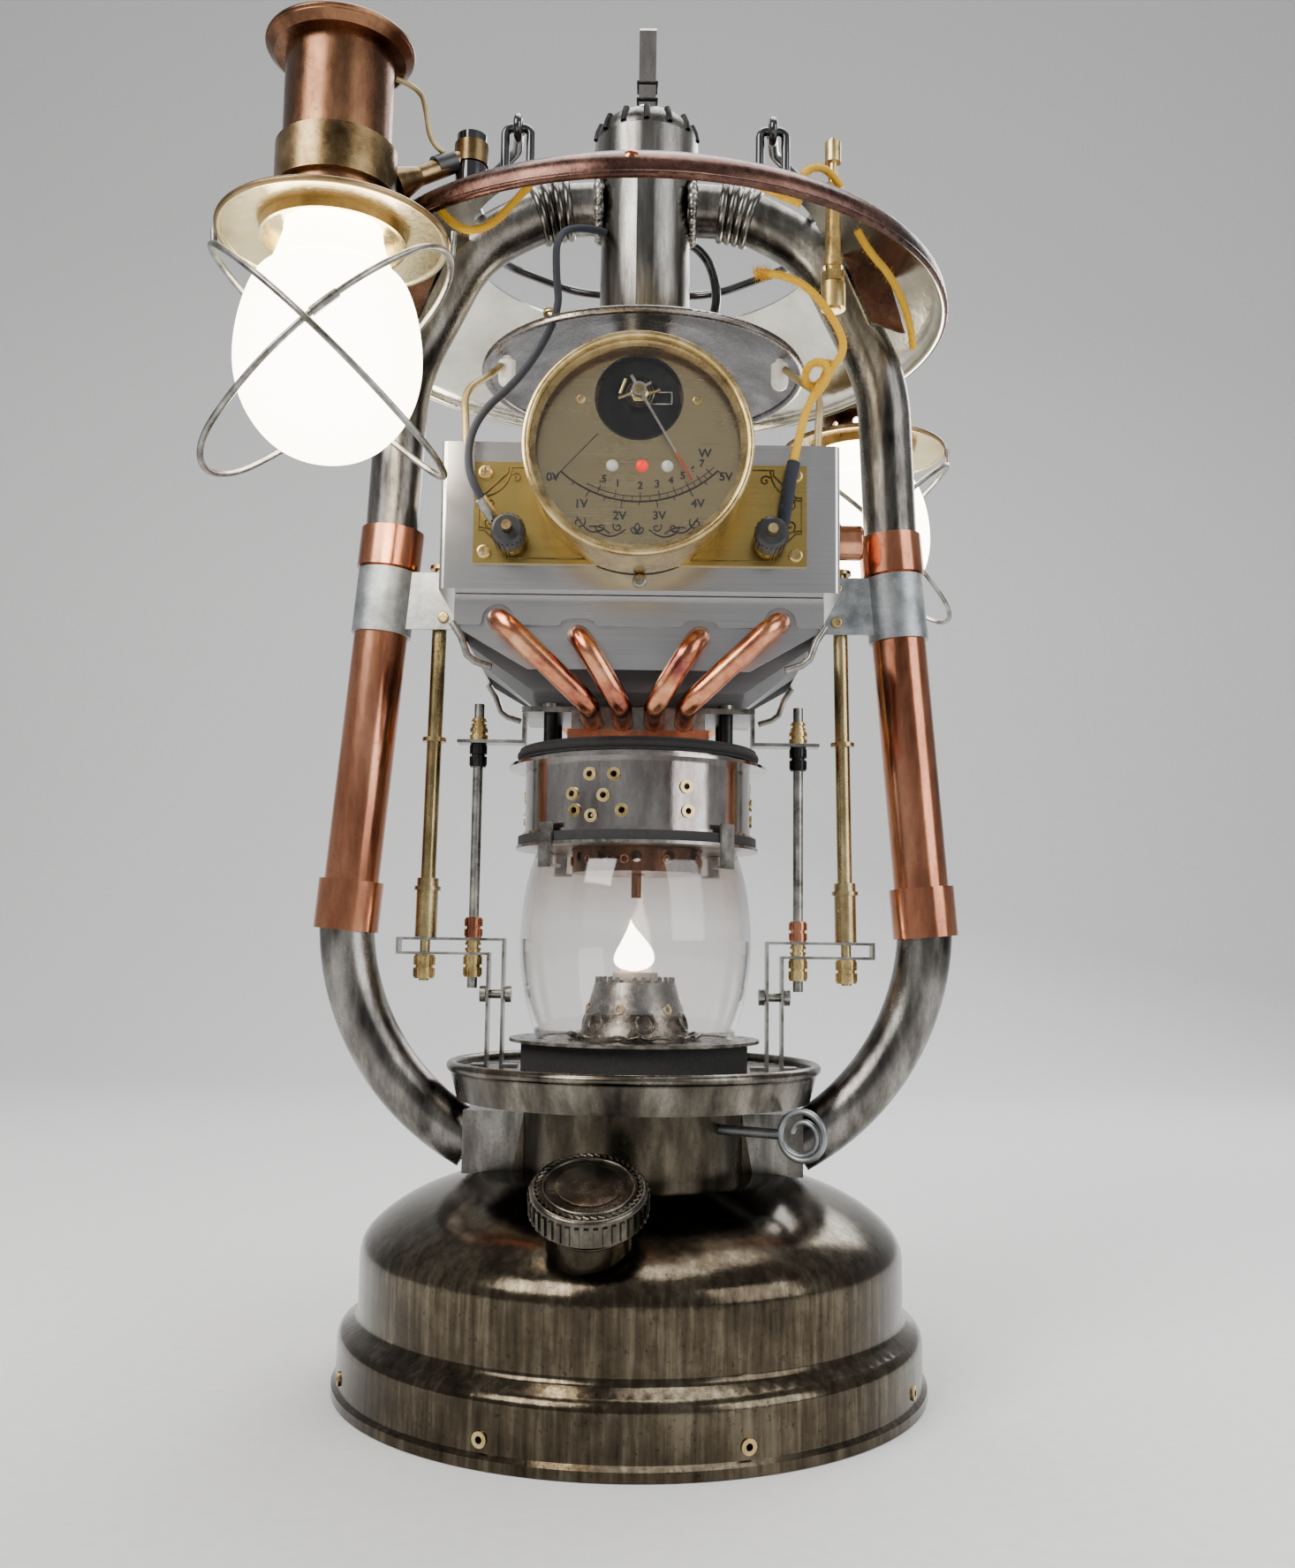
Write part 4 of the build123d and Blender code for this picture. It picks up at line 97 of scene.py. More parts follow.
class Tree:
    """Short names for building a material's nodes."""

    def __init__(self, name):
        material = bpy.data.materials.new(name)
        material.use_nodes = True
        self.nodes = material.node_tree.nodes
        self.links = material.node_tree.links
        self.bsdf = self.nodes["Principled BSDF"]
        self.coords = self.nodes.new("ShaderNodeTexCoord")
        PAINT[name] = material

    def put(self, socket, value):
        """Links a socket to another, or sets its number, vector or colour."""
        if isinstance(value, bpy.types.NodeSocket):
            self.links.new(value, socket)
        elif socket.type == "RGBA":
            socket.default_value = (*value[:3], 1)
        else:
            socket.default_value = value

    def add(self, kind, sockets, **settings):
        node = self.nodes.new(kind)
        for key, value in settings.items():
            setattr(node, key, value)
        for key, value in sockets.items():
            self.put(node.inputs[key], value)
        return node

    def mapped(self, scale=(1, 1, 1)):
        sockets = {"Vector": self.coords.outputs["Object"], "Scale": scale}
        return self.add("ShaderNodeMapping", sockets).outputs["Vector"]

    def height(self):
        sockets = {"Vector": self.coords.outputs["Object"]}
        return self.add("ShaderNodeSeparateXYZ", sockets).outputs["Z"]

    def span(self, value, first, last, to_first=0.0, to_last=1.0):
        """Maps the stretch from first to last onto another stretch, and holds it beyond its ends."""
        sockets = {"Value": value, "From Min": first, "From Max": last, "To Min": to_first, "To Max": to_last}
        return self.add("ShaderNodeMapRange", sockets).outputs["Result"]

    def noise(self, vector, scale, detail, rough=0.6):
        sockets = {"Vector": vector, "Scale": scale, "Detail": detail, "Roughness": rough}
        return self.add("ShaderNodeTexNoise", sockets).outputs["Fac"]

    def ramp(self, value, stops):
        node = self.add("ShaderNodeValToRGB", {"Fac": value})
        band = node.color_ramp
        while len(band.elements) < len(stops):
            band.elements.new(0.5)
        for element, (position, colour) in zip(band.elements, stops):
            element.position = position
            if not hasattr(colour, "__len__"):
                colour = (colour, colour, colour)
            element.color = (*colour[:3], 1)
        return node.outputs["Color"]

    def mix(self, factor, a, b):
        colour_a, colour_b, colour_out = 6, 7, 2
        sockets = {"Factor": factor, colour_a: a, colour_b: b}
        return self.add("ShaderNodeMix", sockets, data_type="RGBA").outputs[colour_out]

    def bump(self, height, strength, distance):
        sockets = {"Height": height, "Strength": strength, "Distance": distance}
        return self.add("ShaderNodeBump", sockets).outputs["Normal"]

    def set(self, **values):
        for key, value in values.items():
            self.put(self.bsdf.inputs[SOCKETS[key]], value)


def worn_metal(name, dark, mid, light, scale, rough, streak=1, bump=0.1, flecks=None, metal=1.0):
    """Metal with patches, flecks and uneven polish; a streak under 1 draws the patches out upright."""
    t = Tree(name)
    patches = t.noise(t.mapped((1, 1, streak)), scale, 8, 0.65)
    speckle = t.noise(t.mapped(), scale * 9, 4, 0.7)
    fine = t.noise(t.mapped(), scale * 40, 2)
    colour = t.ramp(patches, [(0.32, dark), (0.5, mid), (0.68, light)])
    fleck_map = t.mix(0.35, (0, 0, 0), t.ramp(speckle, [(0.55, 0.0), (0.72, 1.0)]))
    colour = t.mix(fleck_map, colour, flecks or dark)
    rough_map = t.ramp(t.mix(0.4, patches, speckle), [(0.3, rough[0]), (0.7, rough[1])])
    normal = t.bump(t.mix(0.5, patches, fine), bump, 0.0004)
    t.set(color=colour, rough=rough_map, metal=metal, normal=normal)


def brushed(name, colour, rough, contrast, scale):
    """Metal with fine parallel brush lines along X."""
    t = Tree(name)
    lines = t.noise(t.mapped((0.012, 1, 1)), scale, 5, 0.7)
    cloud = t.noise(t.mapped(), 28, 6)
    dark = tuple(c * (1 - contrast * 2.2) for c in colour)
    light = tuple(min(1, c * (1 + contrast)) for c in colour)
    shade = t.ramp(lines, [(0.3, dark), (0.5, colour), (0.72, light)])
    shade = t.mix(0.35, shade, t.ramp(cloud, [(0.3, dark), (0.7, light)]))
    rough_map = t.ramp(t.mix(0.65, lines, cloud), [(0.25, rough - 0.05), (0.75, rough + 0.07)])
    t.set(color=shade, rough=rough_map, metal=1.0, normal=t.bump(lines, 0.05, 0.0001))


def streaked_metal(name, dark, mid, light, rough, clear_z, run_z):
    """Old polished steel: mottled all over, with fine runs below that fade out from run_z up to clear_z."""
    t = Tree(name)
    blotches = t.noise(t.mapped(), 34, 8, 0.7)
    runs = t.noise(t.mapped((1, 1, 0.07)), 420, 5, 0.65)
    pits = t.noise(t.mapped(), 620, 4, 0.75)
    tone = t.mix(t.span(t.height(), clear_z, run_z, 0.2, 0.5), blotches, runs)
    colour = t.ramp(tone, [(0.34, dark), (0.5, mid), (0.66, light)])
    colour = t.mix(t.ramp(pits, [(0.58, 0.0), (0.70, 0.75)]), colour, dark)
    rough_map = t.ramp(t.mix(0.5, blotches, pits), [(0.32, rough[0]), (0.68, rough[1])])
    normal = t.bump(t.mix(0.6, blotches, pits), 0.10, 0.0005)
    t.set(color=colour, rough=rough_map, metal=1.0, normal=normal)


def plain(name, colour, rough, grain=500, strength=0.08, coat=0.0, metal=0.0):
    """Plastic, fibre or paint with a fine grain and a little colour change."""
    t = Tree(name)
    fine = t.noise(t.mapped(), grain, 4)
    cloud = t.noise(t.mapped(), 60, 4, 0.5)
    dark = tuple(c * 0.75 for c in colour)
    light = tuple(min(1, c * 1.2 + 0.005) for c in colour)
    shade = t.ramp(t.mix(0.5, fine, cloud), [(0.35, dark), (0.65, light)])
    rough_map = t.ramp(cloud, [(0.3, max(0.05, rough - 0.08)), (0.7, rough + 0.1)])
    t.set(color=shade, rough=rough_map, metal=metal, coat=coat, normal=t.bump(fine, strength, 0.0003))


def two_faced(name, outer, inner, outer_rough, inner_rough, centre=(0, 0, 0)):
    """Sheet metal round an upright axis: patinated on its outer and upper face, bright on its inner face. On
    the lamp shades the inner face's brightness is partly painted light from the bulbs.
    """
    upward = 0.004
    edge = 0.001
    t = Tree(name)
    sockets = {0: t.coords.outputs["Object"], 1: centre}
    from_axis = t.add("ShaderNodeVectorMath", sockets, operation="SUBTRACT")
    sockets = {0: from_axis.outputs["Vector"], 1: (1, 1, 0), 2: (0, 0, upward)}
    radial = t.add("ShaderNodeVectorMath", sockets, operation="MULTIPLY_ADD")
    sockets = {0: radial.outputs["Vector"], 1: t.coords.outputs["Normal"]}
    facing = t.add("ShaderNodeVectorMath", sockets, operation="DOT_PRODUCT")
    out = t.span(facing.outputs["Value"], -edge, edge)
    patches = t.noise(t.mapped(), 45, 8, 0.65)
    fine = t.noise(t.mapped(), 45 * 14, 4, 0.7)
    patina = t.ramp(patches, [(0.33, outer[0]), (0.5, outer[1]), (0.7, outer[2])])
    bright = t.ramp(patches, [(0.3, inner[0]), (0.5, inner[1]), (0.7, inner[2])])
    rough_in = t.ramp(fine, [(0.3, inner_rough), (0.7, inner_rough + 0.12)])
    rough_out = t.ramp(fine, [(0.3, outer_rough), (0.7, outer_rough + 0.2)])
    dents = t.mix(0.25, t.noise(t.mapped(), 22, 2, 0.4), fine)
    normal = t.bump(dents, 0.25, 0.0009)
    t.set(color=t.mix(out, bright, patina), rough=t.mix(out, rough_in, rough_out), metal=1.0, normal=normal)


def clear_glass(name, tint, smoke=None):
    """Clear glass with a little grime, smoked towards its top where two heights are given."""
    t = Tree(name)
    grime = t.noise(t.mapped(), 40, 6)
    colour = t.mix(t.span(t.height(), *smoke), tint, (0.62, 0.55, 0.50)) if smoke else tint
    rough = t.ramp(grime, [(0.4, 0.02), (0.75, 0.11)])
    t.set(color=colour, rough=rough, transmission=1.0, ior=1.45, normal=t.bump(grime, 0.03, 0.0005))


def lit(name, colour, glow, power, rough=0.1):
    """Lit glass, a little warmer towards its edge."""
    t = Tree(name)
    cloud = t.noise(t.mapped(), 50, 3, 0.5)
    shade = t.ramp(cloud, [(0.2, tuple(c * 0.93 for c in colour)), (0.8, colour)])
    facing = t.add("ShaderNodeLayerWeight", {"Blend": 0.35})
    warm = tuple(g * w for g, w in zip(glow, (1.0, 0.88, 0.70)))
    t.set(color=shade, rough=rough, glow=t.mix(facing.outputs["Facing"], glow, warm), glow_power=power)


def braid(name, colour, dark, scale, sheen):
    """Cloth braid: two sets of slanted strands over the lead."""
    t = Tree(name)
    strands = []
    for lean in (1, -1):
        sockets = {"Vector": t.mapped((1, 1, lean)), "Scale": scale, "Distortion": 1.5}
        wave = t.add("ShaderNodeTexWave", sockets, wave_type="BANDS", bands_direction="DIAGONAL")
        strands.append(wave.outputs["Fac"])
    weave = t.mix(0.5, *strands)
    fibre = t.noise(t.mapped(), scale * 6, 4, 0.7)
    shade = t.mix(t.ramp(weave, [(0.3, 0.0), (0.7, 1.0)]), dark, colour)
    shade = t.mix(0.3, shade, t.ramp(fibre, [(0.3, dark), (0.7, colour)]))
    t.set(color=shade, rough=0.9, sheen=sheen, normal=t.bump(t.mix(0.4, weave, fibre), 0.6, 0.0004))


def flame_glow(name, foot_z, tip_z):
    """White-hot heart with a warm edge, fading to orange at the tip."""
    t = Tree(name)
    edge, heart, body, tip = (1.0, 0.62, 0.42), (1.0, 0.93, 0.86), (1.0, 0.90, 0.78), (1.0, 0.60, 0.30)
    stops = [(0.0, edge), (0.2, heart), (0.7, body), (1.0, tip)]
    shade = t.ramp(t.span(t.height(), foot_z, tip_z), stops)
    t.set(color=(1.0, 0.8, 0.6), rough=0.6, glow=shade, glow_power=14.0)


streaked_metal(
    "tank_steel", (0.014, 0.011, 0.008), (0.066, 0.052, 0.035), (0.175, 0.145, 0.10), (0.08, 0.26),
    clear_z=0.056, run_z=0.036,
)
worn_metal(
    "neck_steel", (0.012, 0.010, 0.008), (0.055, 0.045, 0.032), (0.15, 0.125, 0.09), 90, (0.14, 0.36),
    streak=0.3, flecks=(0.012, 0.01, 0.008),
)
worn_metal(
    "crown_steel", (0.02, 0.017, 0.015), (0.10, 0.09, 0.08), (0.28, 0.26, 0.24), 130, (0.12, 0.34),
    streak=0.5, bump=0.16, flecks=(0.03, 0.02, 0.018),
)
worn_metal(
    "tube_steel", (0.03, 0.026, 0.024), (0.15, 0.14, 0.125), (0.36, 0.34, 0.31), 110, (0.14, 0.34),
    streak=0.25, bump=0.12, flecks=(0.05, 0.03, 0.022),
)
worn_metal(
    "column_steel", (0.05, 0.045, 0.04), (0.22, 0.21, 0.19), (0.44, 0.42, 0.39), 120, (0.12, 0.32),
    streak=0.12, bump=0.16, flecks=(0.03, 0.024, 0.02),
)
worn_metal(
    "tray_steel", (0.025, 0.022, 0.018), (0.10, 0.09, 0.072), (0.26, 0.24, 0.20), 90, (0.14, 0.34),
    streak=0.4, bump=0.12, flecks=(0.03, 0.02, 0.014),
)
worn_metal(
    "polished_steel", (0.16, 0.13, 0.12), (0.36, 0.33, 0.31), (0.58, 0.55, 0.53), 70, (0.06, 0.20),
    streak=0.3, bump=0.08, flecks=(0.10, 0.07, 0.055),
)
worn_metal(
    "clip_steel", (0.12, 0.11, 0.095), (0.28, 0.27, 0.245), (0.48, 0.47, 0.44), 150, (0.2, 0.42), bump=0.12,
)
worn_metal(
    "burner_steel", (0.03, 0.026, 0.022), (0.13, 0.115, 0.095), (0.36, 0.33, 0.28), 160, (0.14, 0.38),
    bump=0.2, flecks=(0.02, 0.015, 0.012),
)
worn_metal("black_metal", (0.012, 0.012, 0.012), (0.03, 0.03, 0.03), (0.06, 0.058, 0.055), 90, (0.3, 0.5))
worn_metal(
    "galvanised", (0.20, 0.21, 0.215), (0.34, 0.36, 0.365), (0.50, 0.52, 0.525), 130, (0.30, 0.55),
    bump=0.12, flecks=(0.18, 0.17, 0.15), metal=0.9,
)
worn_metal(
    "copper", (0.20, 0.065, 0.035), (0.50, 0.20, 0.11), (0.76, 0.37, 0.22), 60, (0.10, 0.28),
    streak=0.22, bump=0.06, flecks=(0.10, 0.035, 0.022),
)
worn_metal(
    "pipe_copper", (0.22, 0.06, 0.05), (0.55, 0.21, 0.11), (0.80, 0.42, 0.22), 110, (0.12, 0.32),
    flecks=(0.28, 0.06, 0.12),
)
worn_metal(
    "old_copper", (0.05, 0.024, 0.014), (0.17, 0.08, 0.042), (0.34, 0.17, 0.09), 70, (0.18, 0.40),
    streak=0.4, flecks=(0.03, 0.018, 0.012),
)
worn_metal(
    "brass", (0.30, 0.20, 0.08), (0.58, 0.43, 0.19), (0.80, 0.64, 0.33), 120, (0.18, 0.42),
    bump=0.08, flecks=(0.2, 0.12, 0.05),
)
worn_metal(
    "arm_brass", (0.08, 0.05, 0.022), (0.22, 0.145, 0.065), (0.42, 0.30, 0.15), 80, (0.18, 0.40),
    flecks=(0.05, 0.03, 0.015),
)
worn_metal(
    "rod_brass", (0.16, 0.115, 0.05), (0.36, 0.275, 0.13), (0.60, 0.48, 0.25), 120, (0.15, 0.36),
    streak=0.4, bump=0.08, flecks=(0.08, 0.05, 0.025),
)
worn_metal(
    "lead_brass", (0.32, 0.24, 0.10), (0.55, 0.43, 0.22), (0.72, 0.6, 0.36), 120, (0.35, 0.55), metal=0.6,
)
worn_metal(
    "engraved_brass", (0.05, 0.035, 0.01), (0.13, 0.09, 0.035), (0.24, 0.17, 0.07), 200, (0.4, 0.6),
    bump=0.15,
)
two_faced(
    "cap_steel", ((0.10, 0.08, 0.075), (0.22, 0.20, 0.185), (0.42, 0.40, 0.37)),
    ((0.07, 0.068, 0.07), (0.16, 0.155, 0.155), (0.30, 0.30, 0.30)), 0.16, 0.22,
)
two_faced(
    "canopy_copper", ((0.04, 0.020, 0.016), (0.11, 0.055, 0.042), (0.24, 0.125, 0.09)),
    ((0.50, 0.48, 0.40), (0.68, 0.65, 0.55), (0.84, 0.81, 0.72)), 0.18, 0.10,
)
# Lamp shades: darker brass outside; the bright brass inside is partly polish and partly painted light from
# the bulbs.
for word, centre in LAMP.items():
    two_faced(
        "shade_brass_" + word, ((0.12, 0.08, 0.035), (0.27, 0.18, 0.085), (0.45, 0.33, 0.17)),
        ((0.72, 0.58, 0.26), (0.84, 0.72, 0.40), (0.92, 0.84, 0.56)), 0.24, 0.16, centre,
    )
brushed("plate_brass", (0.55, 0.40, 0.13), 0.24, 0.06, 1600)
brushed("dial_brass", (0.50, 0.40, 0.23), 0.26, 0.045, 2000)
brushed("case_aluminium", (0.58, 0.565, 0.56), 0.24, 0.045, 1600)
brushed("fin_aluminium", (0.44, 0.435, 0.44), 0.30, 0.05, 1600)
plain("black_enamel", (0.012, 0.012, 0.014), 0.12, 300, 0.02, coat=0.8)
plain("fibre", (0.022, 0.021, 0.02), 0.9, 900, 0.5)
plain("black_plastic", (0.03, 0.03, 0.032), 0.4)
plain("ceramic", (0.75, 0.75, 0.72), 0.35)
plain("board", (0.02, 0.12, 0.06), 0.3)
plain("wick_cotton", (0.42, 0.38, 0.32), 0.95, 700, 0.5)
plain("ink", (0.02, 0.018, 0.015), 0.6)
plain("needle_steel", (0.62, 0.58, 0.52), 0.3, metal=1.0)
plain("needle_red", (0.75, 0.03, 0.015), 0.4)
clear_glass("globe_glass", (0.93, 0.91, 0.90), (0.128, 0.150))
clear_glass("meter_glass", (0.96, 0.96, 0.95))
lit("opal_glass", (0.95, 0.93, 0.88), (1.0, 0.93, 0.80), 13.0, 0.3)
lit("red_lamp", (0.7, 0.02, 0.01), (1.0, 0.008, 0.004), 1.1)
lit("clear_lamp", (0.85, 0.83, 0.8), (1.0, 0.95, 0.85), 0.15)
braid("yellow_cloth", (0.92, 0.55, 0.02), (0.66, 0.34, 0.01), 900, 0.12)
braid("black_cloth", (0.035, 0.042, 0.065), (0.008, 0.009, 0.014), 1100, 0.05)
flame_glow("flame", 0.1145, 0.1300)

NODES_IN = {
    "tank_steel": ("tank_shell", "tank_bottom", "filler_neck"),
    "tray_steel": ("filler_cap", "tray"),
    "tube_steel": ("lower_tubes", "upper_tubes"),
    "burner_steel": ("burner_base", "burner_cone"),
    "polished_steel": ("fire_drum", "top_hook"),
    "cap_steel": ("steel_cap",),
    "clip_steel": ("clip_ring", "strut_brackets", "lamp_guard_left", "lamp_guard_right"),
    "galvanised": ("wick_raiser", "clamp_bands"),
    "copper": ("switch_knob", "copper_sleeves", "tube_collars"),
    "old_copper": ("deflector_cup", "lamp_socket_left", "lamp_socket_right"),
    "pipe_copper": ("heat_pipes",),
    "canopy_copper": ("canopy",),
    "brass": ("brass_eyelets", "meter_can", "terminals"),
    "plate_brass": ("face_plate",),
    "dial_brass": ("meter_dial",),
    "arm_brass": ("lamp_arm_left", "lamp_arm_right"),
    "shade_brass_left": ("lamp_shade_left",),
    "shade_brass_right": ("lamp_shade_right",),
    "case_aluminium": ("casing",),
    "fin_aluminium": ("cooling_fins",),
    "black_metal": ("meter_movement",),
    "black_enamel": ("canopy_ears", "bail_handle"),
    "black_plastic": ("post_knob_left", "post_knob_right"),
    "needle_steel": ("meter_needle",),
    "fibre": ("cap_seal", "fibre_gaskets"),
    "ceramic": ("teg_module",),
    "board": ("power_board",),
    "wick_cotton": ("wick",),
    "yellow_cloth": ("leads",),
    "globe_glass": ("globe",),
    "meter_glass": ("meter_glass",),
    "opal_glass": ("lamp_bulb_left", "lamp_bulb_right"),
}
for name, nodes in NODES_IN.items():
    for node in nodes:
        NODES[node].data.materials.clear()
        NODES[node].data.materials.append(PAINT[name])


def by_place(node, base, *rules):
    """Paints parts of one CAD node by where each face's centre lies. The last rule that fits holds."""
    mesh = NODES[node].data
    mesh.materials.clear()
    for name in (base, *(name for name, _ in rules)):
        mesh.materials.append(PAINT[name])
    for polygon in mesh.polygons:
        for index, (_, test) in enumerate(rules):
            if test(polygon.center):
                polygon.material_index = index + 1


by_place("struts", "rod_brass", ("clip_steel", lambda c: abs(c.x) < 0.0505))
by_place(
    "brass_fasteners", "brass",
    # Nuts on the threaded rods, from the top one down, and the screw at the casing's lower edge
    ("black_metal", lambda c: 0.1740 < c.z < 0.1813),
    ("copper", lambda c: 0.1235 < c.z < 0.1300),
    ("clip_steel", lambda c: 0.1020 < c.z < 0.1099),
    ("clip_steel", lambda c: abs(c.y) > 0.030 and c.z < 0.2200),
)
by_place("indicator_lamps", "clear_lamp", ("red_lamp", lambda c: c.y < -0.06 and abs(c.x - 0.0004) < 0.0022))
by_place("clamp_bar", "clip_steel", ("black_metal", lambda c: abs(c.y) > 0.009 and c.z < 0.1888))
by_place("neck_drum", "neck_steel", ("tube_steel", lambda c: abs(c.x) > 0.0329))
by_place("column", "column_steel", ("crown_steel", lambda c: c.z > 0.3706))
by_place("cold_block", "copper", ("clip_steel", lambda c: c.z > 0.1834))


# Small helpers for added pieces
def smooth(obj, degrees):
    """Smooth shading that keeps edges above an angle sharp."""
    for polygon in obj.data.polygons:
        polygon.use_smooth = True
    obj.data.set_sharp_from_angle(angle=math.radians(degrees))


def from_bmesh(name, bm, paint, body="frame", sharp=None):
    """Makes a painted piece from a bmesh, smooth below an angle where one is given. The floor has no body."""
    mesh = bpy.data.meshes.new(name)
    bm.to_mesh(mesh)
    bm.free()
    mesh.materials.append(PAINT[paint])
    obj = add_object(name, mesh)
    if body:
        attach(obj, body)
    if sharp:
        smooth(obj, sharp)
    return obj


def wire(name, lines, radius, paint, body, kind, resolution):
    """Round wires along lists of points. Each point holds the radius, which keeps the bound box close."""
    curve = bpy.data.curves.new(name, "CURVE")
    curve.dimensions = "3D"
    curve.bevel_depth = 1.0
    curve.bevel_resolution = resolution
    curve.materials.append(PAINT[paint])
    for points in lines:
        spline = curve.splines.new(kind)
        spline.points.add(len(points) - 1)
        for point, place in zip(spline.points, points):
            point.co = (*place, 1)
            point.radius = radius
    obj = add_object(name, curve)
    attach(obj, body)
    return obj


def line_curve(name, lines, radius, paint, body="frame", closed=False, resolution=1):
    """Straight-sided, drawn or engraved lines, given as lists of points in metres."""
    obj = wire(name, lines, radius, paint, body, "POLY", resolution)
    for spline in obj.data.splines:
        spline.use_cyclic_u = closed
    return obj


def sleeve(name, points, radius, paint, body="frame"):
    """A lead, sleeve or ferrule on a smooth route, with its points and radius in millimetres."""
    obj = wire(name, [metres(points)], radius * MM, paint, body, "NURBS", 4)
    obj.data.resolution_u = 10
    obj.data.use_fill_caps = True
    for spline in obj.data.splines:
        spline.order_u = 3
        spline.use_endpoint_u = True
    return obj


def loft(bm, rings):
    """Faces between closed rings of vertices, and one over each end."""
    for lower, upper in zip(rings, rings[1:]):
        for i in range(len(lower)):
            nxt = (i + 1) % len(lower)
            bm.faces.new((lower[i], lower[nxt], upper[nxt], upper[i]))
    bm.faces.new(list(reversed(rings[0])))
    bm.faces.new(rings[-1])


def around(count):
    """Evenly spaced angles of a full turn."""
    return [math.tau * i / count for i in range(count)]


def on_circle(radius, angle, height):
    """A point round the Z axis."""
    return (radius * math.cos(angle), radius * math.sin(angle), height)


def lathe(name, profile, paint, place, steps, body="frame", ripple=None):
    """A turned piece from radii and heights in millimetres. A ripple changes the radius with the angle."""
    bm = bmesh.new()
    rings = []
    for radius, height in profile:
        ring = []
        for angle in around(steps):
            r = radius * MM * (ripple(angle) if ripple else 1)
            ring.append(bm.verts.new(on_circle(r, angle, height * MM)))
        rings.append(ring)
    loft(bm, rings)
    bmesh.ops.transform(bm, matrix=place, verts=bm.verts)
    bmesh.ops.recalc_face_normals(bm, faces=bm.faces)
    from_bmesh(name, bm, paint, body, 40)


def metres(points, flip=1):
    return [(flip * x * MM, y * MM, z * MM) for x, y, z in points]


def spun(points):
    """The same points turned half round the column, for the right lamp."""
    return [(-x, -y, z) for x, y, z in points]


def ring_points(centre, axis, radius, count=32):
    """Points of a circle round an axis."""
    axis = Vector(axis).normalized()
    side = axis.orthogonal().normalized()
    other = axis.cross(side)
    points = []
    for angle in around(count):
        points.append(tuple(Vector(centre) + (side * math.cos(angle) + other * math.sin(angle)) * radius))
    return points


def scatter(scale):
    """A random vector within a cube."""
    return Vector((random.uniform(-1, 1), random.uniform(-1, 1), random.uniform(-1, 1))) * scale


def fuzz(lead, paint, share, length):
    """Loose fibres on a share of a cloth lead's faces."""
    half_width = 0.00006
    source = bpy.data.meshes.new_from_object(lead.evaluated_get(bpy.context.evaluated_depsgraph_get()))
    bm = bmesh.new()
    for polygon in source.polygons:
        if random.random() > share:
            continue
        root = polygon.center
        way = (polygon.normal + scatter(0.9)).normalized()
        side = way.orthogonal().normalized() * half_width
        tip = root + way * length * random.uniform(0.4, 1.0)
        tip += Vector((0, 0, random.uniform(-1, 1))) * length * 0.3
        mid = (root + tip) / 2 + side * 3
        verts = [bm.verts.new(place) for place in (root - side, root + side, mid + side, mid - side, tip)]
        bm.faces.new(verts[:4])
        bm.faces.new((verts[3], verts[2], verts[4]))
    bpy.data.meshes.remove(source)
    from_bmesh(lead.name + "_fuzz", bm, paint)


# Leads, on the same points as in the CAD, and the fibres of the cloth ones: share of faces, length
LEAD_R = 1.1
CABLE_R = 1.5
FIBRES = {"yellow_cloth": (0.5, 0.0016), "black_cloth": (0.12, 0.0007)}
BLACK_LEAD = (
    (-12.12, -7.0, 340.0), (-19.4, -11.2, 340.0), (-26.0, -25.0, 330.0), (-25.4, -33.0, 314.0),
    (-23.6, -38.0, 299.5), (-32.3, -48.0, 277.0), (-44.9, -52.6, 263.0), (-46.8, -55.0, 249.4),
    (-43.0, -57.0, 239.6), (-37.9, -52.7, 232.8),
)
YELLOW_LEAD = (
    (34.7, -48.0, 307.0), (42.6, -50.5, 305.0), (51.2, -52.0, 294.0), (55.8, -52.0, 284.0),
    (50.6, -50.5, 277.5), (45.0, -48.6, 268.5), (42.5, -52.6, 258.0), (39.8, -55.4, 246.0),
    (37.9, -52.7, 232.8),
)
CAP_LEAD = (
    (42.3, -15.4, 293.2), (45.5, -20.0, 288.0), (51.5, -29.0, 280.0), (50.0, -32.0, 268.0),
    (50.0, -32.0, 257.05),
)
REAR_CABLE = (
    (11.33, 8.23, 346.0), (19.4, 14.1, 346.0), (24.3, 17.6, 331.0), (19.4, 14.1, 316.0),
    (11.33, 8.23, 316.0),
)
LEFT_LEAD = (
    (-55.5, -56.0, 320.0), (-51.0, -55.0, 314.5), (-43.0, -51.0, 317.5), (-36.5, -47.5, 327.0),
    (-31.0, -46.5, 334.6),
)
RIGHT_LEAD = ((26.0, -51.5, 333.3), (33.5, -54.0, 328.3), (42.5, -55.8, 323.3))
SIDE_LEAD = (
    (60.6, -38.0, 325.4), (64.0, -35.0, 321.0), (73.0, -24.0, 318.5), (80.5, -13.0, 310.0),
    (81.5, -11.0, 302.0),
)
for name, points, radius, paint in (
    ("lead_black", BLACK_LEAD, LEAD_R, "black_cloth"),
    ("lead_yellow", YELLOW_LEAD, LEAD_R, "yellow_cloth"),
    ("lead_cap_right", CAP_LEAD, LEAD_R, "lead_brass"),
    ("lead_cap_left", [(-x, y, z) for x, y, z in CAP_LEAD], LEAD_R, "lead_brass"),
    ("cable_rear", REAR_CABLE, CABLE_R, "black_enamel"),
    ("lead_left", LEFT_LEAD, LEAD_R, "yellow_cloth"),
    ("lead_right", RIGHT_LEAD, LEAD_R, "yellow_cloth"),
    ("lead_side", SIDE_LEAD, LEAD_R, "yellow_cloth"),
):
    lead = sleeve(name, points, radius, paint)
    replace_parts(lead, "leads")
    if paint in FIBRES:
        fuzz(lead, paint, *FIBRES[paint])

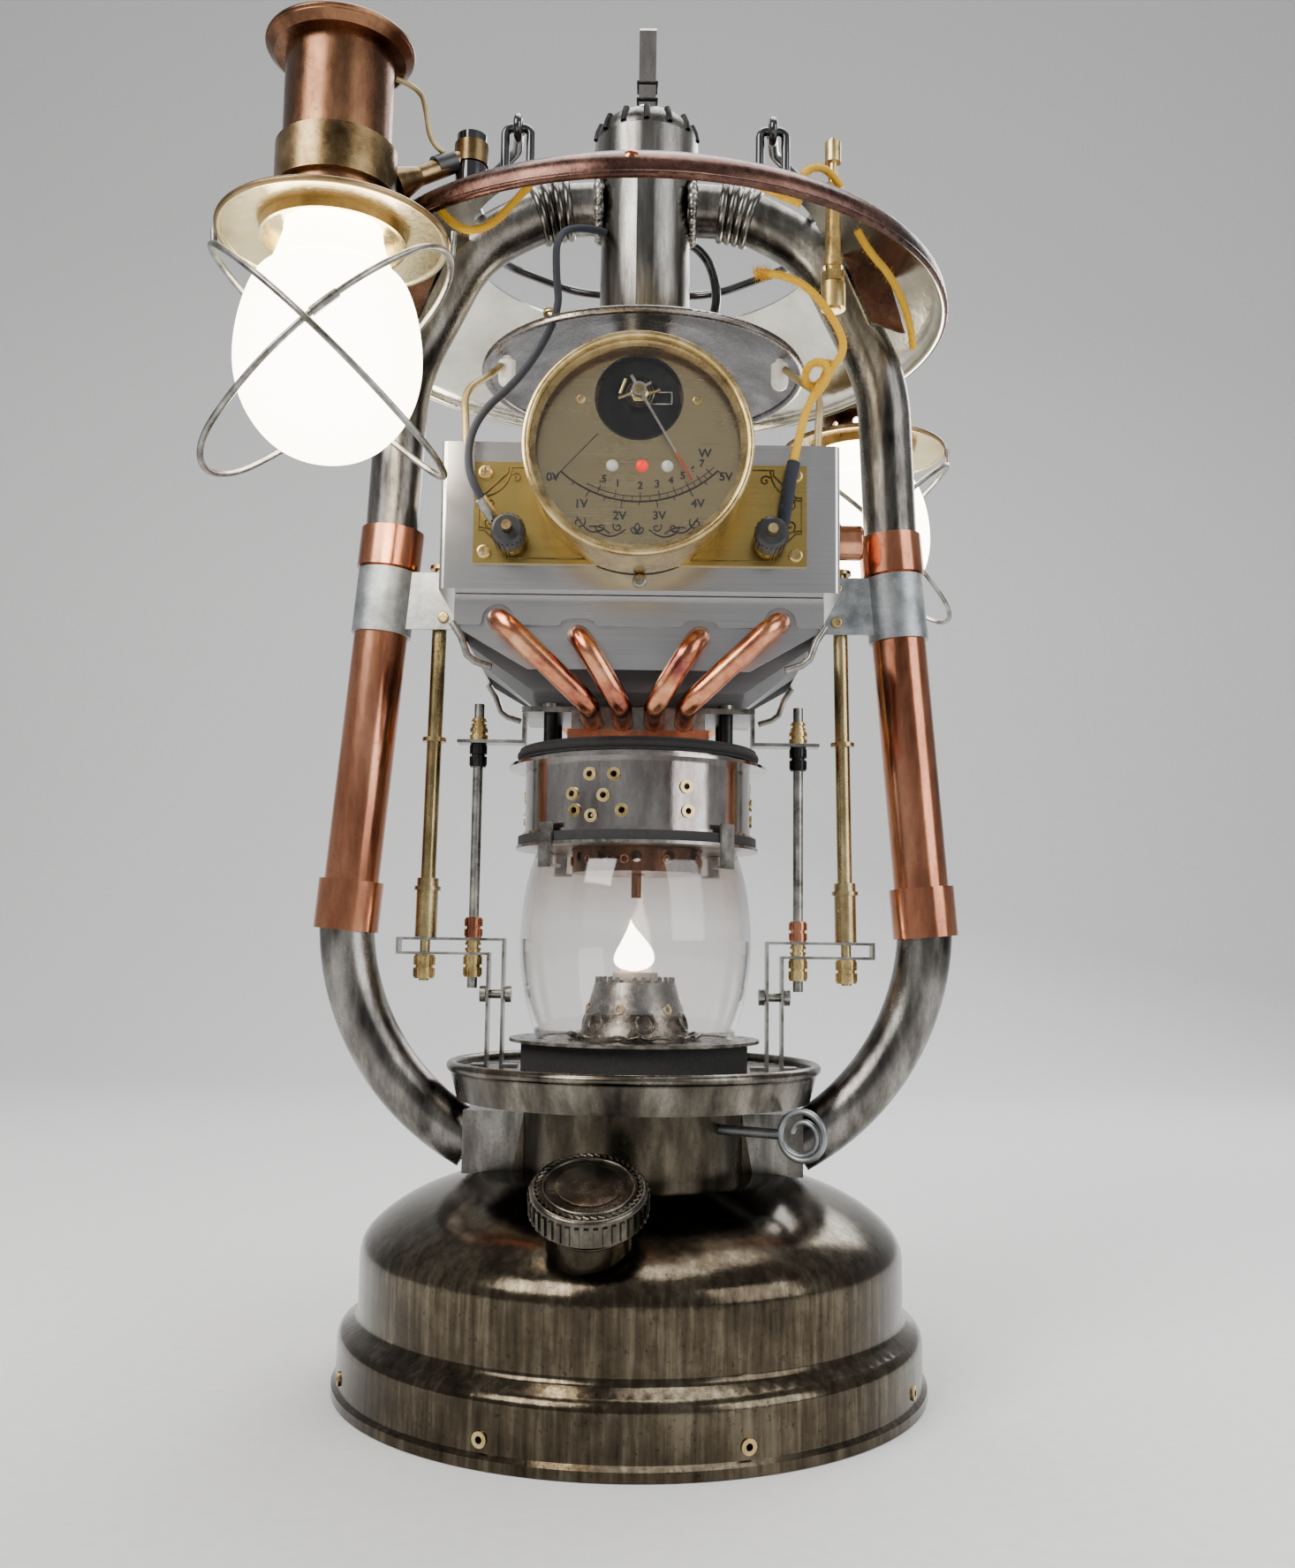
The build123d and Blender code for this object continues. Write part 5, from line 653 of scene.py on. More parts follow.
# The dial's print, just in front of the dial. Angles count from straight down, round the needle's pivot
PRINT_LIFT = 0.00004
VOLT_START = -42.9
VOLT_STEP = 17.5
SCALE_R = 29.4
WATTS = (
    (".5", -21.0), ("1", -12.0), ("2", 1.4), ("3", 11.4), ("4", 19.8), ("5", 27.2), ("6", 34.2), ("7", 40.8),
)


def on_dial(x, up):
    """A point of the print, in millimetres from the dial's centre."""
    return (METER.x + x * MM, DIAL_Y - PRINT_LIFT, METER.z + up * MM)


def polar(radius, degrees):
    angle = math.radians(degrees)
    return on_dial(radius * math.sin(angle), PIVOT_UP / MM - radius * math.cos(angle))


def arc(radius, first, last, count=40):
    return [polar(radius, first + (last - first) * i / count) for i in range(count + 1)]


def tick(degrees, length):
    """A mark that starts on the scale's arc, outwards or, with a negative length, inwards."""
    return [polar(SCALE_R, degrees), polar(SCALE_R + length, degrees)]


def volt_angle(volts):
    return VOLT_START + VOLT_STEP * volts


def label(name, text, place, size):
    curve = bpy.data.curves.new(name, "FONT")
    curve.body = text
    curve.size = size * MM
    curve.align_x = "CENTER"
    curve.align_y = "CENTER"
    curve.extrude = 0.00001
    curve.offset = 0.00009
    curve.materials.append(PAINT["ink"])
    obj = add_object(name, curve)
    obj.location = place
    obj.rotation_euler = (math.radians(90), 0, 0)
    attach(obj, "frame")


line_curve("scale_arc", [arc(SCALE_R, VOLT_START, volt_angle(5))], 0.00025, "ink")
line_curve("power_arc", [arc(SCALE_R - 1.4, -28, 44.6)], 0.00012, "ink")
line_curve("zero_line", [[polar(15.5, VOLT_START), polar(SCALE_R + 3.0, VOLT_START)]], 0.00013, "ink")
ticks = [tick(volt_angle(n), 2.0) for n in range(6)] + [tick(volt_angle(n + 0.5), 1.1) for n in range(5)]
line_curve("volt_ticks", ticks, 0.00016, "ink")
line_curve("watt_ticks", [tick(angle, -2.4) for _, angle in WATTS], 0.00014, "ink")
minor = [(WATTS[n][1] + WATTS[n + 1][1]) / 2 for n in range(2, 7)] + [-2.9, -7.6]
line_curve("watt_minor", [tick(angle, -1.4) for angle in minor], 0.00011, "ink")
for volts, spread in enumerate((-0.6, -0.4, 0, 0, 0.4, 0.6)):
    lift = 4.2 if 0 < volts < 5 else 2.6
    label(f"volt_{volts}", f"{volts}V", polar(SCALE_R + lift, volt_angle(volts) + spread), 3.1)
for text, angle in WATTS:
    label("watt_" + text.replace(".", "half"), text, polar(SCALE_R - 4.2, angle), 2.7)
label("watt_mark", "W", polar(SCALE_R - 5.6, 46.5), 3.2)


def curl(spot, x, up, radius, turns, start, direction, heart=0.15, count=36):
    """A spiral that opens outwards, on the plane whose points spot gives."""
    points = []
    for i in range(count + 1):
        share = i / count
        angle = start + direction * math.tau * turns * share
        r = radius * (heart + (1 - heart) * share)
        points.append(spot(x + r * math.cos(angle), up + r * math.sin(angle)))
    return points


def stem(x0, up0, x1, up1, sag, count=20):
    """A curved stroke of the dial's scrolls, which sags in its middle."""
    points = []
    for i in range(count + 1):
        share = i / count
        up = up0 + (up1 - up0) * share - sag * math.sin(math.pi * share)
        points.append(on_dial(x0 + (x1 - x0) * share, up))
    return points


def petal(reach, degrees):
    """A pointed leaf from the flower's foot, leaning to one side."""
    foot_up = -22.2
    turn = math.radians(degrees)
    points = []
    for i in range(17):
        a = math.tau * i / 16
        along = reach * (0.5 - 0.5 * math.cos(a))
        across = 0.6 * math.sin(a)
        x = along * math.sin(turn) + across * math.cos(turn)
        points.append(on_dial(x, foot_up + along * math.cos(turn) - across * math.sin(turn)))
    return points


scrolls = []
for side in (-1, 1):
    start = 0 if side > 0 else math.pi
    scrolls.append(curl(on_dial, side * 15.0, -19.4, 1.7, 1.1, math.pi - start, -side))
    scrolls.append(stem(side * 15.6, -18.0, side * 9.2, -21.4, 2.0))
    scrolls.append(curl(on_dial, side * 9.4, -20.6, 1.4, 1.0, start, side))
    scrolls.append(stem(side * 10.4, -21.8, side * 3.0, -21.2, 1.6))
    scrolls.append(curl(on_dial, side * 5.0, -20.6, 1.3, 1.1, start, side))
    scrolls.append(stem(side * 12.4, -20.6, side * 7.0, -22.4, -0.8))
line_curve("dial_scrolls", scrolls, 0.0002, "ink")
line_curve("dial_flower", [petal(2.0, -50), petal(2.6, 0), petal(2.0, 50)], 0.0002, "ink", closed=True)

# Dark ring round the dial's window
WINDOW_R = 11.4
WINDOW_UP = 14.2
window_ring = [on_dial(WINDOW_R * math.cos(a), WINDOW_UP + WINDOW_R * math.sin(a)) for a in around(72)]
line_curve("window_ring", [window_ring], 0.00022, "ink", closed=True)

# The movement's nut, screw, hair spring, bridge and slotted plate, round the needle's pivot
PIVOT = Vector((METER.x, DIAL_Y, METER.z + PIVOT_UP))
flat = Matrix.Translation(PIVOT) @ Matrix.Rotation(math.radians(90), 4, "X")
lathe("pivot_nut", ((1.9, -2.2), (2.5, -1.8), (2.5, -0.6), (1.9, -0.2)), "brass", flat, 6)
lathe("pivot_screw", ((0.5, 2.6), (1.25, 2.7), (1.25, 3.0), (0.5, 3.05)), "brass", flat, 24, "needle")


def near_pivot(x, back, up):
    return (PIVOT.x + x * MM, PIVOT.y + back, PIVOT.z + up * MM)


SPRING_TURNS = 3.2
SPRING_LAST = 89
spring = []
for i in range(SPRING_LAST + 1):
    angle = math.tau * SPRING_TURNS * i / SPRING_LAST
    r = 1.6 + 2.3 * i / SPRING_LAST
    spring.append(near_pivot(r * math.cos(angle), 0.0009, r * math.sin(angle)))
line_curve("hair_spring", [spring], 0.00012, "arm_brass")
bridge = [[near_pivot(side * 2.2, 0.0012, 0), near_pivot(side * 5.4, 0.0012, side * 1.2)] for side in (-1, 1)]
bridge.append([near_pivot(-3.6, -0.0002, 3.4), near_pivot(-5.0, -0.0002, -0.6)])
line_curve("movement_bridge", bridge, 0.00045, "brass", resolution=3)
slot = [near_pivot(x, 0.0021, up) for x, up in ((4, 0.9), (8.6, 0.9), (8.6, -2.4), (3, -2.4))]
line_curve("movement_slot", [slot], 0.0003, "polished_steel", closed=True)

# The needle's red tip
NEEDLE_TURN = math.radians(30)
NEEDLE_FRONT = Vector((0, -0.00226, 0))
outward = Vector((math.sin(NEEDLE_TURN), 0, -math.cos(NEEDLE_TURN)))
tip = [tuple(PIVOT + outward * reach + NEEDLE_FRONT) for reach in (0.0195, 0.0279)]
line_curve("needle_tip", [tip], 0.00024, "needle_red", "needle")

# Flame over the wick
FLAME_FOOT = 114.6
FLAME_HEIGHT = 15.3
FLAME_HALF_X = 5.9
FLAME_HALF_Y = 3.2
FLAME_ROWS = 28


def flame():
    """A leaning drop, widest low down and drawn out to a point."""
    bm = bmesh.new()
    rings = []
    for row in range(FLAME_ROWS):
        share = row / (FLAME_ROWS - 1) * 0.985
        width = 3.16 * math.sqrt(share + 0.003) * (1 - share) ** 1.6
        lean = 0.9 * math.sin(share * 5.0) * share - 0.6
        ring = []
        for angle in around(40):
            x = FLAME_HALF_X * width * math.cos(angle) + lean
            y = FLAME_HALF_Y * width * math.sin(angle)
            ring.append(bm.verts.new((x * MM, y * MM, (FLAME_FOOT + FLAME_HEIGHT * share) * MM)))
        rings.append(ring)
    loft(bm, rings)
    obj = from_bmesh("flame", bm, "flame", sharp=80)
    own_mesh(obj)


flame()

# Ends, sleeves and loops of the leads
FERRULE = ((-42.4, -56.5, 239.0), (-40.6, -55.2, 236.6), (-39.2, -53.9, 234.4))
POST_SLEEVE = ((40.9, -54.4, 250.6), (39.9, -55.1, 246.0), (39.0, -54.3, 240.0), (38.2, -53.0, 234.2))
TONGUE = ((38.6, -52.8, 234.0), (36.6, -53.2, 231.8), (34.9, -53.4, 230.0))
LOOP = (
    (46.4, -48.6, 270.6), (49.6, -51.2, 273.6), (50.8, -52.6, 277.6), (48.0, -53.0, 280.2),
    (44.6, -51.4, 278.6), (44.4, -48.6, 275.2), (47.6, -47.2, 274.6), (50.4, -48.0, 277.6),
    (51.0, -49.6, 281.6),
)
TOP_LEAD = (
    (41.8, -52.4, 327.8), (42.8, -52.8, 333.0), (46.8, -50.6, 337.4), (52.0, -46.4, 338.4),
    (55.2, -43.6, 335.2),
)
LEAD_END = ((34.7, -48.0, 307.0), (32.4, -47.6, 307.8), (30.8, -47.4, 307.0))
sleeve("ferrule_left", FERRULE, 1.75, "clip_steel")
sleeve("sleeve_right", POST_SLEEVE, 1.8, "black_cloth")
line_curve("tongue_left", [metres(TONGUE, -1)], 0.0008, "clip_steel", resolution=3)
line_curve("tongue_right", [metres(TONGUE)], 0.0008, "clip_steel", resolution=3)
grommet = ring_points((-0.0262, -0.0345, 0.3008), (0.1, 0.25, 1.0), 0.0019)
line_curve("cap_grommet", [grommet], 0.0007, "brass", closed=True, resolution=3)
fuzz(sleeve("lead_loop", LOOP, 1.05, "yellow_cloth"), "yellow_cloth", 0.5, 0.0015)
fuzz(sleeve("lead_top", TOP_LEAD, 1.05, "yellow_cloth"), "yellow_cloth", 0.5, 0.0015)
fuzz(sleeve("lead_end", LEAD_END, 1.0, "yellow_cloth"), "yellow_cloth", 1.0, 0.0024)

# Lamp wires, from each hat down to the arm's pivot, with a black sheath on the arm
LAMP_WIRE = (
    (-66.2, -69.8, 349.2), (-60.0, -67.5, 348.0), (-58.2, -67.8, 341.0), (-57.4, -66.8, 334.6),
    (-54.6, -64.6, 331.6), (-51.6, -62.6, 331.6),
)
SHEATH = ((-55.9, -64.5, 327.3), (-53.7, -63.4, 328.8), (-51.3, -62.2, 330.4))
for word, placed in (("left", list), ("right", spun)):
    sleeve("lamp_wire_" + word, placed(LAMP_WIRE), 0.75, "lead_brass", "swing_lamp_" + word)
    sleeve("arm_sheath_" + word, placed(SHEATH), 3.0, "black_plastic", "swing_lamp_" + word)

# Sleeve on each lamp guard, a little above where its front wires cross
GUARD_FRONT = 0.02585
GUARD_CROSS_Z = 0.2675
GUARD_SLANT = math.radians(43)
GUARD_BOW = 105
SLEEVE_RUN = (2.2, 4.0, 6.0, 8.0, 10.0)
for word, sign in (("left", 1), ("right", -1)):
    cross = Vector((LAMP[word].x, LAMP[word].y - sign * GUARD_FRONT, GUARD_CROSS_Z))
    slant = Vector((math.cos(GUARD_SLANT) * sign, 0, math.sin(GUARD_SLANT)))
    inward = Vector((0, sign, 0))
    points = [tuple(cross + slant * s * MM + inward * s * s / GUARD_BOW * MM) for s in SLEEVE_RUN]
    line_curve("guard_sleeve_" + word, [points], 0.00125, "clip_steel", "swing_lamp_" + word, resolution=3)

# Face plate: engraved border with stepped corners, and two curls and an arc in each corner
PLATE_LOW = 223.0
PLATE_TOP = 251.0
PLATE_HALF = 44.8
PLATE_INSET = 1.4
BORDER_NOTCH = 7.6
BORDER_STEP = 1.5
CURL_FAR = 9.8
CURL_NEAR = 3.0
CORNER_ARC = 8.6
ENGRAVE_Y = PLATE_Y - 0.00002


def on_plate(x, z):
    return (x * MM, ENGRAVE_Y, z * MM)


def border_corner(sx, sz):
    z = (PLATE_TOP - PLATE_INSET) if sz > 0 else (PLATE_LOW + PLATE_INSET)
    return sx * (PLATE_HALF - PLATE_INSET), z


border = []
for sx, sz in ((-1, -1), (1, -1), (1, 1), (-1, 1)):
    x, z = border_corner(sx, sz)
    corner = [
        on_plate(x - sx * BORDER_NOTCH, z), on_plate(x - sx * BORDER_NOTCH, z - sz * BORDER_STEP),
        on_plate(x - sx * BORDER_STEP, z - sz * BORDER_NOTCH), on_plate(x, z - sz * BORDER_NOTCH),
    ]
    border += corner if sx * sz < 0 else list(reversed(corner))
plate_lines = []
for sx, sz in ((-1, -1), (-1, 1), (1, -1), (1, 1)):
    x, z = border_corner(sx, sz)
    upper_start = math.pi / 2 * sz
    side_start = math.pi / 2 * (1 - sx)
    for across, along, start, direction in (
        (CURL_FAR, CURL_NEAR, upper_start, -sx * sz), (CURL_NEAR, CURL_FAR, side_start, sx * sz),
    ):
        spiral = curl(on_plate, x - sx * across, z - sz * along, 1.5, 1.15, start, direction, 0.12, 30)
        plate_lines.append(spiral)
    bow = []
    for i in range(19):
        angle = math.radians(90 * i / 18)
        across = CORNER_ARC * math.cos(angle) * 0.98
        bow.append(on_plate(x - sx * across, z - sz * CORNER_ARC * math.sin(angle) * 0.98))
    plate_lines.append(bow)
line_curve("plate_scrolls", plate_lines, 0.00026, "engraved_brass")
line_curve("plate_border", [border], 0.00028, "engraved_brass", closed=True)

# Filler cap: raised bead ring and a worn plain middle
CAP_TILT = math.radians(27.0)
CAP_PLACE = Matrix.Translation((-0.010, -0.0613, 0.0455)) @ Matrix.Rotation(CAP_TILT, 4, "X")
CAP_FACE = 20.5 * MM
BEADS_R = 12.5 * MM
beads = []
for angle in around(44):
    c, s = math.cos(angle), math.sin(angle)
    place = CAP_PLACE @ Vector(on_circle(BEADS_R, angle, CAP_FACE))
    along = (CAP_PLACE.to_3x3() @ Vector((-s + 0.6 * c, c + 0.6 * s, 0))) * 0.0007
    beads.append([tuple(place - along), tuple(place + along)])
line_curve("cap_beads", beads, 0.00042, "tray_steel", "cap", resolution=2)
lathe(
    "cap_boss", ((0.5, 0.0), (7.6, 0.0), (8.1, 0.25), (7.2, 0.42), (0.5, 0.5)), "tray_steel",
    CAP_PLACE @ Matrix.Translation((0, 0, CAP_FACE - 0.00005)), 64, "cap",
    lambda angle: 1 + 0.01 * math.sin(9 * angle),
)

# Wick key: the inner curl of the wire ring
KEY_PLACE = Matrix.Rotation(math.radians(-30), 4, "Z") @ Matrix.Translation((0.0559, -0.0057, 0.0716))
KEY_R = 5.9
KEY_SHRINK = 3.0
key_curl = []
for i in range(40):
    share = i / 39
    angle = math.radians(200 + 330 * share)
    r = (KEY_R - KEY_SHRINK * share) * MM
    key_curl.append(tuple(KEY_PLACE @ Vector((r * math.cos(angle), 0, r * math.sin(angle)))))
line_curve("key_curl", [key_curl], 0.0008, "galvanised", "raiser", resolution=3)

# Burner: eyelets and raised loops by turns round the cone, and its scalloped lower edge
eyelets = []
loops = []
for i in range(12):
    angle = math.radians(30 * i + 12)
    out = Vector((math.cos(angle), math.sin(angle), 0.24)).normalized()
    radius, height = (0.0148, 0.1000) if i % 2 else (0.0140, 0.1038)
    centre = on_circle(radius, angle, height)
    if i % 2:
        loops.append(ring_points(centre, out, 0.0027, 24))
    else:
        eyelets.append(ring_points(centre, out, 0.0012, 20))
line_curve("cone_eyelets", eyelets, 0.0004, "brass", closed=True, resolution=2)
line_curve("cone_loops", loops, 0.00055, "burner_steel", closed=True, resolution=2)
SCALLOPS = 20
scallops = []
for angle in around(120):
    r = 0.0192 + 0.0004 * math.sin(SCALLOPS * angle)
    scallops.append(on_circle(r, angle, 0.0962 + 0.0003 * math.sin(SCALLOPS * angle)))
line_curve("cone_scallops", [scallops], 0.0005, "burner_steel", closed=True, resolution=2)

# Eyelets in the deflector cup's side
CUP_R = 0.0193
CUP_EYELET_Z = 0.1462
cup_rings = []
for i in range(10):
    angle = math.radians(36 * i + 8)
    centre = on_circle(CUP_R, angle, CUP_EYELET_Z)
    cup_rings.append(ring_points(centre, on_circle(1, angle, 0), 0.0011, 20))
line_curve("cup_eyelets", cup_rings, 0.0003, "copper", closed=True, resolution=2)

# Spring clips on the fins' lower corners: across, out along Y past the clip's start, height
FIN_CLIP_Y = 0.0447
FIN_CLIP = (
    (0.0506, 0.0002, 0.2080), (0.0480, 0.0008, 0.2040), (0.0462, 0.0010, 0.1990),
    (0.0440, 0.0008, 0.1972), (0.0396, 0.0006, 0.1958),
)
for word, side in (("left", -1), ("right", 1)):
    for place, way in (("front", -1), ("rear", 1)):
        strip = [(side * x, way * FIN_CLIP_Y + way * out, z) for x, out, z in FIN_CLIP]
        line_curve(f"fin_clip_{place}_{word}", [strip], 0.0010, "clip_steel", resolution=3)

# Screw head on the casing's left side, and a rivet on the canopy's front
lathe(
    "casing_screw", ((0.5, 0.0), (2.6, 0.0), (2.6, 0.9), (1.9, 1.9), (0.5, 2.2)), "rod_brass",
    Matrix.Translation((-0.0541, -0.018, 0.2353)) @ Matrix.Rotation(math.radians(-90), 4, "Y"), 24,
)
lathe(
    "canopy_rivet", ((0.3, 0.0), (1.9, 0.0), (1.7, 0.7), (0.9, 1.2), (0.3, 1.3)), "copper",
    Matrix.Translation((-0.0031, -0.0905, 0.3160)) @ Matrix.Rotation(math.radians(78), 4, "X"), 24,
)

# Solder round the joints of the upper tubes with the column
SOLDER_X = 0.0145
SOLDER_R = 0.0082
SOLDER_Z = 0.3506
solder = bmesh.new()
for side in (-1, 1):
    for even in around(26):
        angle = even + random.uniform(-0.1, 0.1)
        r = random.uniform(0.0010, 0.0019)
        centre = Vector((side * SOLDER_X, SOLDER_R * math.cos(angle), SOLDER_Z + SOLDER_R * math.sin(angle)))
        place = Matrix.Translation(centre) @ Matrix.Diagonal((r, r * 1.3, r * 1.3, 1))
        bmesh.ops.create_icosphere(solder, subdivisions=2, radius=1.0, matrix=place)
for vert in solder.verts:
    vert.co += scatter(0.00012)
from_bmesh("column_solder", solder, "clip_steel", sharp=80)

# Two bands round the hook
HOOK_HALF = 0.0030
for number, height in enumerate((0.3868, 0.3925)):
    band = [(HOOK_HALF * x, HOOK_HALF * y, height) for x, y in ((-1, -1), (1, -1), (1, 1), (-1, 1))]
    line_curve(f"hook_band_{number}", [band], 0.0005, "black_metal", closed=True, resolution=2)

# Ribs of the draught ring under the burner's plate
RIB_R = 0.0326
ribs = [[on_circle(RIB_R, angle, z) for z in (0.0872, 0.0930)] for angle in around(84)]
line_curve("draught_ribs", ribs, 0.00045, "fibre")

# Slots round the crown's dome: radius and height of each one's points
CROWN_SLOT = ((0.01605, 0.3722), (0.01555, 0.3748), (0.01445, 0.3774))
SLOTS = 14
slots = []
for i in range(SLOTS):
    angle = math.tau * (i + 0.5) / SLOTS
    slots.append([on_circle(r, angle, z) for r, z in CROWN_SLOT])
line_curve("crown_slots", slots, 0.0010, "black_metal", resolution=3)

# Vents and screws on the back of the casing
VENT_STEP = 9.0
VENT_LOW = 228.0
VENT_HALF = 0.0030
vents = []
for row in range(3):
    for column in range(9):
        x = (column - 4) * VENT_STEP * MM
        z = (VENT_LOW + row * VENT_STEP) * MM
        vents.append([(x - VENT_HALF, CASING_BACK_Y, z), (x + VENT_HALF, CASING_BACK_Y, z)])
line_curve("rear_vents", vents, 0.0008, "black_metal", resolution=3)
for number, (x, z) in enumerate(((-0.049, 0.2212), (0.049, 0.2212), (-0.049, 0.2520), (0.049, 0.2520))):
    lathe(
        f"rear_screw_{number}", ((0.4, 0.0), (1.9, 0.0), (1.8, 0.6), (1.0, 1.1), (0.4, 1.2)), "brass",
        Matrix.Translation((x, CASING_BACK_Y, z)) @ Matrix.Rotation(math.radians(-90), 4, "X"), 20,
    )

# Heat pipes, which run up in front of the fins and turn back into them, in millimetres. Outer pair first
PIPE_R = 3.0
PIPE_BEND = 7.0
PIPE_ENDS = ((13.2, 38.3, 209.2), (4.5, 16.6, 205.0))
PIPE_LOW_Z = 185.75
PIPE_FRONT_Y = 52.0
PIPE_FOOT_Y = 46.5
PIPE_INSIDE_Y = 30.0


def rounded_path(points, radius, count=8):
    """A path whose corners are arcs, as a list of points."""
    path = [Vector(points[0])]
    for before, corner, after in zip(points, points[1:], points[2:]):
        before, corner, after = Vector(before), Vector(corner), Vector(after)
        back = (before - corner).normalized()
        on = (after - corner).normalized()
        half = back.angle(on) / 2
        reach = radius / math.tan(half)
        centre = corner + (back + on).normalized() * radius / math.sin(half)
        first = corner + back * reach - centre
        last = corner + on * reach - centre
        turn = first.angle(last)
        axis = first.cross(last).normalized()
        for i in range(count + 1):
            path.append(centre + Matrix.Rotation(turn * i / count, 3, axis) @ first)
    path.append(Vector(points[-1]))
    return path


def heat_pipe(name, low_x, top_x, top_z):
    """One pipe from fin to fin, under the stack. Front and rear are alike."""
    points = (
        (top_x, -PIPE_INSIDE_Y, top_z), (top_x, -PIPE_FRONT_Y, top_z), (low_x, -PIPE_FOOT_Y, PIPE_LOW_Z),
        (low_x, PIPE_FOOT_Y, PIPE_LOW_Z), (top_x, PIPE_FRONT_Y, top_z), (top_x, PIPE_INSIDE_Y, top_z),
    )
    path = [tuple(point * MM) for point in rounded_path(points, PIPE_BEND)]
    pipe = line_curve(name, [path], PIPE_R * MM, "pipe_copper", resolution=6)
    pipe.data.use_fill_caps = True
    for spline in pipe.data.splines:
        spline.use_smooth = True
    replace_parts(pipe, "heat_pipes")


for index, (low_x, top_x, top_z) in enumerate(PIPE_ENDS):
    for word, side in (("left", -1), ("right", 1)):
        heat_pipe(f"heat_pipe_{index}_{word}", side * low_x, side * top_x, top_z)

# Cooling fins with their rim, which is notched over each pipe, in millimetres
FIN_HALF_W = 50.2
FIN_HALF_D = 44.5
FIN_LOW_HALF = 30.0
FIN_LOW_Z = 191.6
FIN_RISE = 4.4
BAND_LOW = 207.7
BAND_TOP = 216.0
SHEET = 0.8
FIN_PITCH = 1.516
NOTCHES = ((-38.3, 213.4, 4.4), (-16.6, 209.8, 4.6), (16.6, 209.8, 4.6), (38.3, 213.4, 4.4))


def slab(bm, outline, y_low, y_high):
    """A plate with a given outline in X and Z, between two distances along Y."""
    near = [bm.verts.new((x * MM, y_low * MM, z * MM)) for x, z in outline]
    far = [bm.verts.new((x * MM, y_high * MM, z * MM)) for x, z in outline]
    bm.faces.new(near)
    bm.faces.new(list(reversed(far)))
    for i in range(len(outline)):
        nxt = (i + 1) % len(outline)
        bm.faces.new((near[nxt], near[i], far[i], far[nxt]))


def finish_slabs(name, bm, paint, node):
    bmesh.ops.recalc_face_normals(bm, faces=bm.faces)
    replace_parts(from_bmesh(name, bm, paint, sharp=30), node)


def fin_profile(y):
    """A fin's outline. Fins reach lowest in the middle of the stack."""
    low_z = FIN_LOW_Z + FIN_RISE * abs(y) / FIN_HALF_D
    wide = FIN_HALF_W - 0.9
    half = [
        (wide, BAND_TOP), (wide, BAND_LOW), (wide - 0.8, BAND_LOW - 1.2),
        (FIN_LOW_HALF + 1.0, low_z + 0.5), (FIN_LOW_HALF, low_z),
    ]
    return [(-x, z) for x, z in half] + list(reversed(half))


def notched_edge():
    """The rim's outline, with its lower edge arched over each pipe."""
    points = [(-FIN_HALF_W, BAND_TOP), (-FIN_HALF_W, BAND_LOW)]
    for centre, top, half in NOTCHES:
        rise = min(half, top - BAND_LOW - 0.7)
        points += [(centre - half - 0.8, BAND_LOW), (centre - half, BAND_LOW + 0.6)]
        for i in range(9):
            angle = math.pi - math.pi * i / 8
            points.append((centre + half * math.cos(angle), top - rise + rise * math.sin(angle)))
        points += [(centre + half, BAND_LOW + 0.6), (centre + half + 0.8, BAND_LOW)]
    return points + [(FIN_HALF_W, BAND_LOW), (FIN_HALF_W, BAND_TOP)]


fins = bmesh.new()
for number in range(29):
    y = FIN_PITCH * (number - 14)
    slab(fins, fin_profile(y), y - 0.25, y + 0.25)
for y in (-43.2, 43.2):
    slab(fins, fin_profile(y), y - 0.3, y + 0.3)
finish_slabs("fin_stack", fins, "fin_aluminium", "cooling_fins")

rim = bmesh.new()
slab(rim, notched_edge(), -FIN_HALF_D, -FIN_HALF_D + SHEET)
slab(rim, notched_edge(), FIN_HALF_D - SHEET, FIN_HALF_D)
for side in (-1, 1):
    outer, inner = side * FIN_HALF_W, side * (FIN_HALF_W - SHEET)
    flank = [(outer, BAND_LOW), (inner, BAND_LOW), (inner, BAND_TOP), (outer, BAND_TOP)]
    slab(rim, flank, -FIN_HALF_D + SHEET, FIN_HALF_D - SHEET)
finish_slabs("fin_rim", rim, "case_aluminium", "cooling_fins")

# Floor, lights and world, in metres. The floor lies just under the lamp's foot
FLOOR_Z = -0.0002
FLOOR_FRONT = -2.2
FLOOR_BACK = 0.9
FLOOR_BEND = 0.6
WALL_TOP = 3.2
FLOOR_HALF = 3.0


